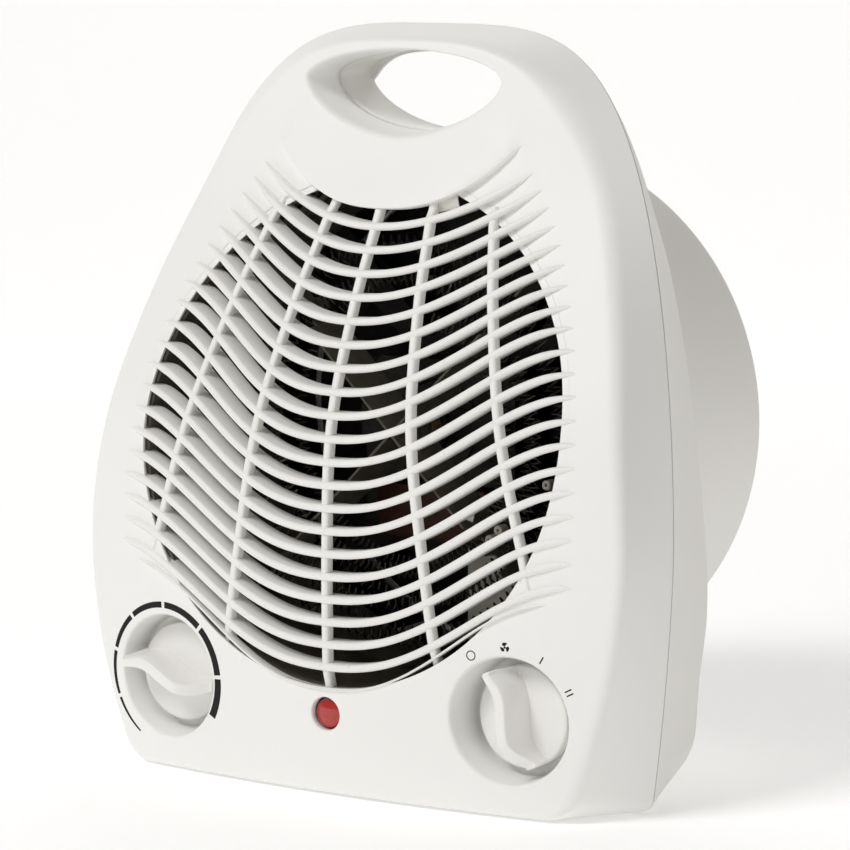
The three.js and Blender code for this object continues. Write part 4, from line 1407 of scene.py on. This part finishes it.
# ---------------------------------------------------------------- printed marks
@dataclass
class Marks:
    """The pad-printed marks round both dials, thin films that follow the face."""

    film: float = 0.04
    ring_r: float = 25.0
    ring_middle: tuple[float, float] = (-0.55, 0.1)  # from the dial's axis
    ring_thin: float = 0.55
    ring_thick: float = 2.85
    gap: float = 1.3
    ends: tuple[float, ...] = (211.5, 246.0, 284.5, 320.0, 358.0, 401.0, 444.5, 479.0)
    mark_r: float = 24.0

    def film_over(self, x: Array, z: Array) -> Surface:
        """A film over the face at a grid of places, standing its own thickness out of it."""
        return grid(np.stack([x, face_y(x, z) - self.film, z], -1))

    def thermostat_ring(self) -> list[Surface]:
        """The thermostat's scale: arcs whose width grows clockwise by the 0.65th power.

        Returns:
            The arcs, parted by gaps.
        """
        films = []
        for start, end in zip(self.ends[:-1], self.ends[1:]):
            half = math.degrees(self.gap / 2 / (self.ring_r - 1))
            first = start + (half if start > self.ends[0] else 0)
            last = end - (half if end < self.ends[-1] else 0)
            a = np.radians(np.linspace(first, last, 26))
            share = (np.degrees(a) - self.ends[0]) / (self.ends[-1] - self.ends[0])
            width = self.ring_thin + (self.ring_thick - self.ring_thin) * share**0.65
            r = self.ring_r - width * np.linspace(0, 1, 5)[:, None]
            right, up = self.ring_middle
            films.append(self.film_over(right - DIAL_X + r * np.sin(a), up + DIAL_Z + r * np.cos(a)))
        return films

    def place(self, angle: float, along: Array, out: Array) -> tuple[Array, Array]:
        """Places in a mark, from its own axes.

        Args:
            angle: degrees clockwise from the mode dial's top to the mark's middle.
            along: distances clockwise from the middle.
            out: distances outwards from the circle that the marks stand on.

        Returns:
            The same places as x and z.
        """
        a = math.radians(angle)
        x = DIAL_X + (self.mark_r + out) * math.sin(a) + along * math.cos(a)
        return x, DIAL_Z + (self.mark_r + out) * math.cos(a) - along * math.sin(a)

    def stroke(self, angle: float, aside: float) -> Surface:
        """A radial stroke, 0.44 mm by 2.5 mm."""
        along, out = np.meshgrid(aside + np.array([-0.22, 0.22]), np.linspace(-1.25, 1.25, 6))
        return self.film_over(*self.place(angle, along, out))

    def off_mark(self, angle: float) -> Surface:
        """The off mark: a ring of 3.3 mm with a line of 0.35 mm.

        Args:
            angle: degrees clockwise from the dial's top.

        Returns:
            The ring's film.
        """
        a = np.linspace(0, 2 * math.pi, 41)
        r = np.array([[1.3], [1.65]])
        x, z = self.place(angle, r * np.sin(a), r * np.cos(a))
        return self.film_over(x, z)

    def fan_mark(self, angle: float) -> list[Surface]:
        """The fan mark: a dot and three blades, each a petal between two arcs.

        Args:
            angle: degrees clockwise from the dial's top.

        Returns:
            The films of the dot and the blades.
        """
        a = np.linspace(0, 2 * math.pi, 17)
        r = np.array([[0.02], [0.38]])
        films = [self.film_over(*self.place(angle, r * np.sin(a), r * np.cos(a)))]
        t = np.linspace(0.0, 1, 12)
        for k in range(3):
            turn = math.radians(120 * k)
            radius = 0.5 + 1.1 * t
            lead = turn + 0.35 + 0.3 * t
            trail = turn - 0.4 - 0.5 * np.sin(math.pi * t**0.8) ** 0.8
            sweep = np.stack([trail + (lead - trail) * s for s in (0, 0.33, 0.67, 1)])
            spots = self.place(angle, radius * np.sin(sweep), radius * np.cos(sweep))
            films.append(self.film_over(*spots))
        return films

    def build(self) -> None:
        """Makes both sets of marks."""
        add_piece("thermostat_marks", self.thermostat_ring(), INK, wall=0.03)
        films = [self.off_mark(-32.0), *self.fan_mark(-2.0), self.stroke(29.5, 0.0)]
        films += [self.stroke(62.0, aside) for aside in (-0.7, 0.7)]
        add_piece("mode_marks", films, INK, wall=0.03)


# ---------------------------------------------------------------- pilot lamp
@dataclass
class PilotLamp:
    """The red lens in its recess."""

    sunk: float = 1.1
    long: float = 5.8

    def build(self) -> None:
        """Makes the lens: a shallow dome with a rounded edge and a straight skirt behind it."""
        face = float(face_y(np.array(0.0), np.array(LAMP_Z)))
        front = face + self.sunk
        r = np.linspace(0.02, LAMP_R - 0.6, 12)
        dome = [(a, front + 0.9 * (a / LAMP_R) ** 2, 0.0) for a in r]
        back = front + self.long
        skirt = [(LAMP_R, front + 1.0, 0.8), (LAMP_R, back, 0.2), (0.02, back, 0.0)]
        lens = turned(rounded([*dome, *skirt], 5), 0, LAMP_Z, 48)
        add_piece("lamp_lens_dome", [lens], LENS, stands_for=["lamp_lens"], crease=50)


# ---------------------------------------------------------------- intake grille
@dataclass
class IntakeGrille:
    """The grille in the drum's rear: rings, spokes, a hub and a rim."""

    front: float = 57.2
    back: float = 59.8
    outer: float = 86.9
    hub: float = 13.0
    rings: int = 11
    bar: float = 1.9
    spokes: int = 12

    def bar_profile(self, r: float, half: float) -> list[tuple[float, float]]:
        """A ring bar's section: a rounded oblong, closed by its first point.

        Args:
            r: the ring's radius.
            half: half the bar's width.

        Returns:
            Its points as (radius, y).
        """
        a = np.linspace(0, 2 * math.pi, 13)
        middle, deep = (self.front + self.back) / 2, (self.back - self.front) / 2
        radii = r + half * signed_power(np.cos(a), 0.6)
        return list(zip(radii, middle + deep * signed_power(np.sin(a), 0.6)))

    def build(self) -> None:
        """Makes the rings, the rim and the hub by turning their sections, and sweeps the spokes."""
        gap = (self.outer - 2 - self.hub) / self.rings
        parts = [
            turned(self.bar_profile(self.hub + gap * k, self.bar / 2), 0, AXIS_Z, 96)
            for k in range(1, self.rings)
        ]
        parts.append(turned(self.bar_profile(self.outer - 1.8, 1.8), 0, AXIS_Z, 96))
        dish = [
            (0.02, self.back + 1.2, 0),
            (self.hub - 3, self.back + 1.0, 1.5),
            (self.hub, self.front, 0.4),
            (0.02, self.front, 0),
        ]
        parts.append(turned(rounded(dish), 0, AXIS_Z, 64))
        right = np.array([[0.9, -1.0], [0.9, 0.6], [0.6, 0.9]])
        section = np.concatenate([right, right[::-1] * [-1, 1]])
        middle = (self.front + self.back) / 2
        for k in range(self.spokes):
            a = 2 * math.pi * (k + 0.5) / self.spokes
            r = np.linspace(self.hub - 2, self.outer - 2, 6)
            path = np.stack([r * math.sin(a), np.full(6, middle), AXIS_Z + r * math.cos(a)], -1)
            parts.append(swept(path, section))
        add_piece("intake_bars", parts, SHELL_REAR_SHADED, stands_for=["rear_grille"])
        # A black sheet behind the fan stands in for the shade inside the drum.
        self.filter_and_shade_sheet()

    def filter_and_shade_sheet(self) -> None:
        """The dust filter: a black disc with a fine raised lattice, 4 mm apart; its black is also painted
        shade, a dark sheet that keeps the inside behind the fan dark.
        """
        radius, bevel, near, far = 84.0, 0.6, 53.6, 55.4
        edge = [(radius, near), (radius + bevel, near + bevel), (radius + bevel, far - bevel), (radius, far)]
        parts = [turned([(0.02, near), *edge, (0.02, far)], 0, AXIS_Z, 72)]
        section = circle(0.35, 6)
        deep = np.full(3, far + 0.3)
        for k in np.arange(-80, 80.1, 4.0):
            reach = math.sqrt(radius**2 - k**2)
            t = np.linspace(-reach, reach, 3)
            parts.append(swept(np.stack([t, deep, np.full(3, AXIS_Z + k)], -1), section))
            parts.append(swept(np.stack([np.full(3, k), deep, AXIS_Z + t], -1), section))
        add_piece("intake_filter_shade_sheet", parts, DARK, stands_for=["intake_filter"])


# ---------------------------------------------------------------- heating element
@dataclass
class HeatingElement:
    """Corrugated nichrome lying as two spirals in the notches of two crossed mica blades.

    Small bright fittings stand beside it.
    """

    front: float = -26.0
    back: float = -5.0
    reach: float = 79.0
    start: float = 20.0
    turns: float = 2.6
    inner: float = 41.0
    outer: float = 71.0
    wave: float = 2.3
    wave_long: float = 2.7
    wire: float = 0.42
    board: float = 0.8

    def radius(self, degrees: Array) -> Array:
        """The spiral's radius at an angle clockwise from the top."""
        return self.inner + (self.outer - self.inner) * (degrees - self.start) / (360 * self.turns)

    def winding(self, y: float) -> Surface:
        """A spiral whose wire waves in and out by about ``wave``, and forward and back by 0.9 mm.

        Args:
            y: the spiral's depth.

        Returns:
            The closed wire.
        """
        length = math.radians(360 * self.turns) * (self.inner + self.outer) / 2
        count = int(length / self.wave_long) * 4
        degrees = np.linspace(self.start, self.start + 360 * self.turns, count + 1)
        phase = np.arange(count + 1) * math.pi / 2
        a = np.radians(degrees)
        r = self.radius(degrees) + self.wave * np.sin(phase) * (1 + 0.12 * np.sin(a * 7))
        path = np.stack([r * np.sin(a), y + 0.9 * np.cos(phase), AXIS_Z + r * np.cos(a)], -1)
        return swept(path, circle(self.wire, 6))

    def blade(self, angle: float) -> Surface:
        """A mica blade across the duct, its long edges notched where the windings pass.

        Args:
            angle: degrees clockwise that it is turned from level.

        Returns:
            The closed blade.
        """
        x = np.linspace(-self.reach, self.reach, 700)
        notch = np.zeros_like(x)
        for side, first in ((1, 90 + angle), (-1, 270 + angle)):
            stages = np.arange(first % 360, self.start + 360 * self.turns, 360)
            for at in side * self.radius(stages[stages >= self.start]):
                notch = np.maximum(notch, smooth((3.6 - np.abs(x - at)) / 0.5))
        taper = smooth((self.reach - np.abs(x)) / 5)
        front = self.front + 5.6 * notch + 2 * (1 - taper)
        back = self.back - 5.6 * notch - 2 * (1 - taper)
        h = self.board / 2
        corners = ((front, -h), (front, h), (back, h), (back, -h))
        edges = [np.stack([x, y, np.full_like(x, AXIS_Z + up)], -1) for y, up in corners]
        return spun(capped(np.stack(edges, 1)), angle, 0, AXIS_Z)

    def build(self) -> None:
        """Makes the windings, the two crossed blades, and the tabs and beads on the leads."""
        for word, y in (("front", self.front + 3.4), ("back", self.back - 3.4)):
            name = f"winding_{word}"
            add_piece(name, [self.winding(y)], NICHROME, stands_for=[f"heating_coil_{word}"])
        # The blades' dark colour is painted shade.
        for word, angle in (("a", 45.0), ("b", 135.0)):
            name = f"mica_board_painted_shade_{word}"
            add_piece(name, [self.blade(angle)], SHADED_MICA, stands_for=[f"mica_blade_{word}"])
        self.fittings()

    def fittings(self) -> None:
        """Bright tabs under the lip and beside the winding, a pale mica shield and ceramic beads."""
        tabs = []
        for x, z, wide, high, turn in ((23.8, 193.6, 9.0, 6.0, -14.0), (32.9, 91.1, 3.6, 3.2, 12.0)):
            low = (x - wide / 2, self.front - 2.4, z - high / 2)
            tab = block(low, (low[0] + wide, low[1] + 0.6, low[2] + high), 0.3)
            tabs.append(spun(tab, turn, x, z))
        add_piece("lead_tabs", tabs, BRIGHT)
        # The shield's paleness is painted light where light falls through the outlet.
        shield = block((17.0, -4.8, 45.0), (38.0, -4.2, 76.0), 0.2)
        add_piece("mica_shield", [shield], LIT_MICA)
        beads = []
        for x, z in ((62.8, 103.8), (44.4, 87.5), (41.0, 84.0)):
            bead = rounded([(0.5, -2.2, 0.0), (1.7, -2.2, 0.6), (1.7, 2.2, 0.6), (0.5, 2.2, 0.0)], 4)
            made = turned([*bead, bead[0]], x, z, 20)
            beads.append(Surface(made.points + [0.0, self.front - 1.0, 0.0], made.faces))
        add_piece("lead_beads", beads, CERAMIC)


# ---------------------------------------------------------------- studio
@dataclass
class Studio:
    """A pale floor that curves up behind, three soft lights and the camera."""

    lens: float = 166.7
    azimuth: float = 33.742
    elevation: float = 7.598
    eye: tuple[float, float, float] = (725.8, -1091.7, 290.4)
    backlight: float = 0.24  # the paper is lit from behind, as on a light table

    def floor(self) -> None:
        """A sheet that lies flat and then sweeps up behind the heater: a quarter circle of 600 mm."""
        a = np.linspace(0, math.pi / 2, 24)
        y = np.concatenate([[-2500.0], 1200 + 600 * np.sin(a), [1800.0]])
        z = np.concatenate([[0.0], 600 - 600 * np.cos(a), [2600.0]])
        x = np.linspace(-3000, 3000, 3)
        wide = np.broadcast_to(x, (len(y), 3))
        points = np.stack([wide, np.repeat(y[:, None], 3, 1), np.repeat(z[:, None], 3, 1)], -1)
        turn = math.radians(self.azimuth)
        px, py = points[..., 0].copy(), points[..., 1].copy()
        points[..., 0] = px * math.cos(turn) - py * math.sin(turn)
        points[..., 1] = px * math.sin(turn) + py * math.cos(turn)
        surface = grid(points)
        mesh = bpy.data.meshes.new("floor")
        mesh.from_pydata((surface.points * MM).tolist(), [], surface.faces)
        mesh.shade_smooth()
        paper = Finish("white_paper", "#ffffff", "#fdfdfc", 0.9, grain_mm=2, relief_mm=0.01, drift_mm=400)
        sheet = paper.material()
        glow = sheet.node_tree.nodes["Principled BSDF"].inputs
        glow["Emission Color"].default_value = linear("#ffffff")
        glow["Emission Strength"].default_value = self.backlight
        mesh.materials.append(sheet)
        sweep = bpy.data.objects.new("floor", mesh)
        bpy.context.scene.collection.objects.link(sweep)

    def light(
        self,
        name: str,
        place: tuple[float, float, float],
        size: float,
        watts: float,
        aim: tuple[float, float, float] = (0.0, 0.0, 120.0),
    ) -> None:
        """A square soft box.

        Args:
            name: its name.
            place: where it stands, in millimetres.
            size: its side in millimetres.
            watts: its power.
            aim: where it points, the heater's middle unless given.
        """
        lamp = bpy.data.lights.new(name, "AREA")
        lamp.shape = "SQUARE"
        lamp.size = size * MM
        lamp.energy = watts
        holder = bpy.data.objects.new(name, lamp)
        holder.location = Vector(place) * MM
        holder.rotation_euler = (Vector(aim) * MM - holder.location).to_track_quat("-Z", "Y").to_euler()
        bpy.context.scene.collection.objects.link(holder)

    def camera(self) -> None:
        """The camera, level and without shift, at the heater's front right."""
        lens = bpy.data.cameras.new("camera")
        lens.lens = self.lens
        lens.sensor_width = 36
        lens.clip_start, lens.clip_end = 0.05, 20
        view = bpy.data.objects.new("camera", lens)
        view.location = Vector((self.eye[0], self.eye[1] + SHIFT_Y, self.eye[2])) * MM
        a, e = math.radians(self.azimuth), math.radians(self.elevation)
        back = Vector((math.sin(a) * math.cos(e), -math.cos(a) * math.cos(e), math.sin(e)))
        view.rotation_euler = back.to_track_quat("Z", "Y").to_euler()
        bpy.context.scene.collection.objects.link(view)
        bpy.context.scene.camera = view

    def build(self) -> None:
        """Makes the floor, the lights, the even sky light and the camera."""
        self.floor()
        self.light("key", (-450.0, -1550.0, 1650.0), 700, 22)
        self.light("fill", (1500.0, -500.0, 600.0), 1000, 1.6)
        self.light("paper", (-600.0, 1700.0, 1700.0), 1000, 9, (-600.0, 1100.0, 0.0))
        world = bpy.data.worlds.new("studio")
        world.use_nodes = True
        sky = world.node_tree.nodes["Background"]
        sky.inputs["Color"].default_value = linear("#fffaf6")
        sky.inputs["Strength"].default_value = 0.3
        bpy.context.scene.world = world
        scene = bpy.context.scene
        scene.view_settings.view_transform = "Standard"
        self.camera()


# ---------------------------------------------------------------- remaining CAD pieces
NODE_FINISHES = {
    "screw_": STEEL,
    "foot_": RUBBER,
    "thermostat_body": CERAMIC,
    "_terminals": BRASS,
    "switch_body": DARK,
    "lamp_body": DARK,
    "heater_duct": DUCT_SHADED,
    "thermal_cutout": DARK,
    "thermal_fuse": STEEL,
    "fan_impeller": DARK,
    "fan_nut": BRASS,
    "motor_winding": COPPER_SHADED,
    "motor_bearing": BRASS,
    "motor_spider": DARK,
    "motor_shaft": STEEL,
    "motor_": MOTOR_STEEL_SHADED,
    "cord_gland": RUBBER,
    "cord_clamp": DARK,
    "terminal_block": CERAMIC,
}


def dress_frame() -> None:
    """Gives every CAD node that still shows its finish, by the first matching part of its name."""
    for name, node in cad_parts.items():
        if node.hide_render:
            continue
        finish = next(made for part, made in NODE_FINISHES.items() if part in name)
        node.data.materials.clear()
        node.data.materials.append(finish.material())
        log.info("%s: %s", name, finish.name)


def main() -> None:
    """Builds the heater from its sub-assemblies in order, then the studio."""
    logging.basicConfig(level=logging.INFO, format="%(message)s")
    parts = (
        FrontCover(),
        RearCover(),
        OutletGrille(),
        Dial("thermostat_dial", -DIAL_X, -76.0, Body.THERMOSTAT),
        Dial("mode_dial", DIAL_X, -20.0, Body.MODE),
        Marks(),
        PilotLamp(),
        IntakeGrille(),
        HeatingElement(),
    )
    for part in parts:
        part.build()
    dress_frame()
    Studio().build()


if __name__ == "__main__":
    main()
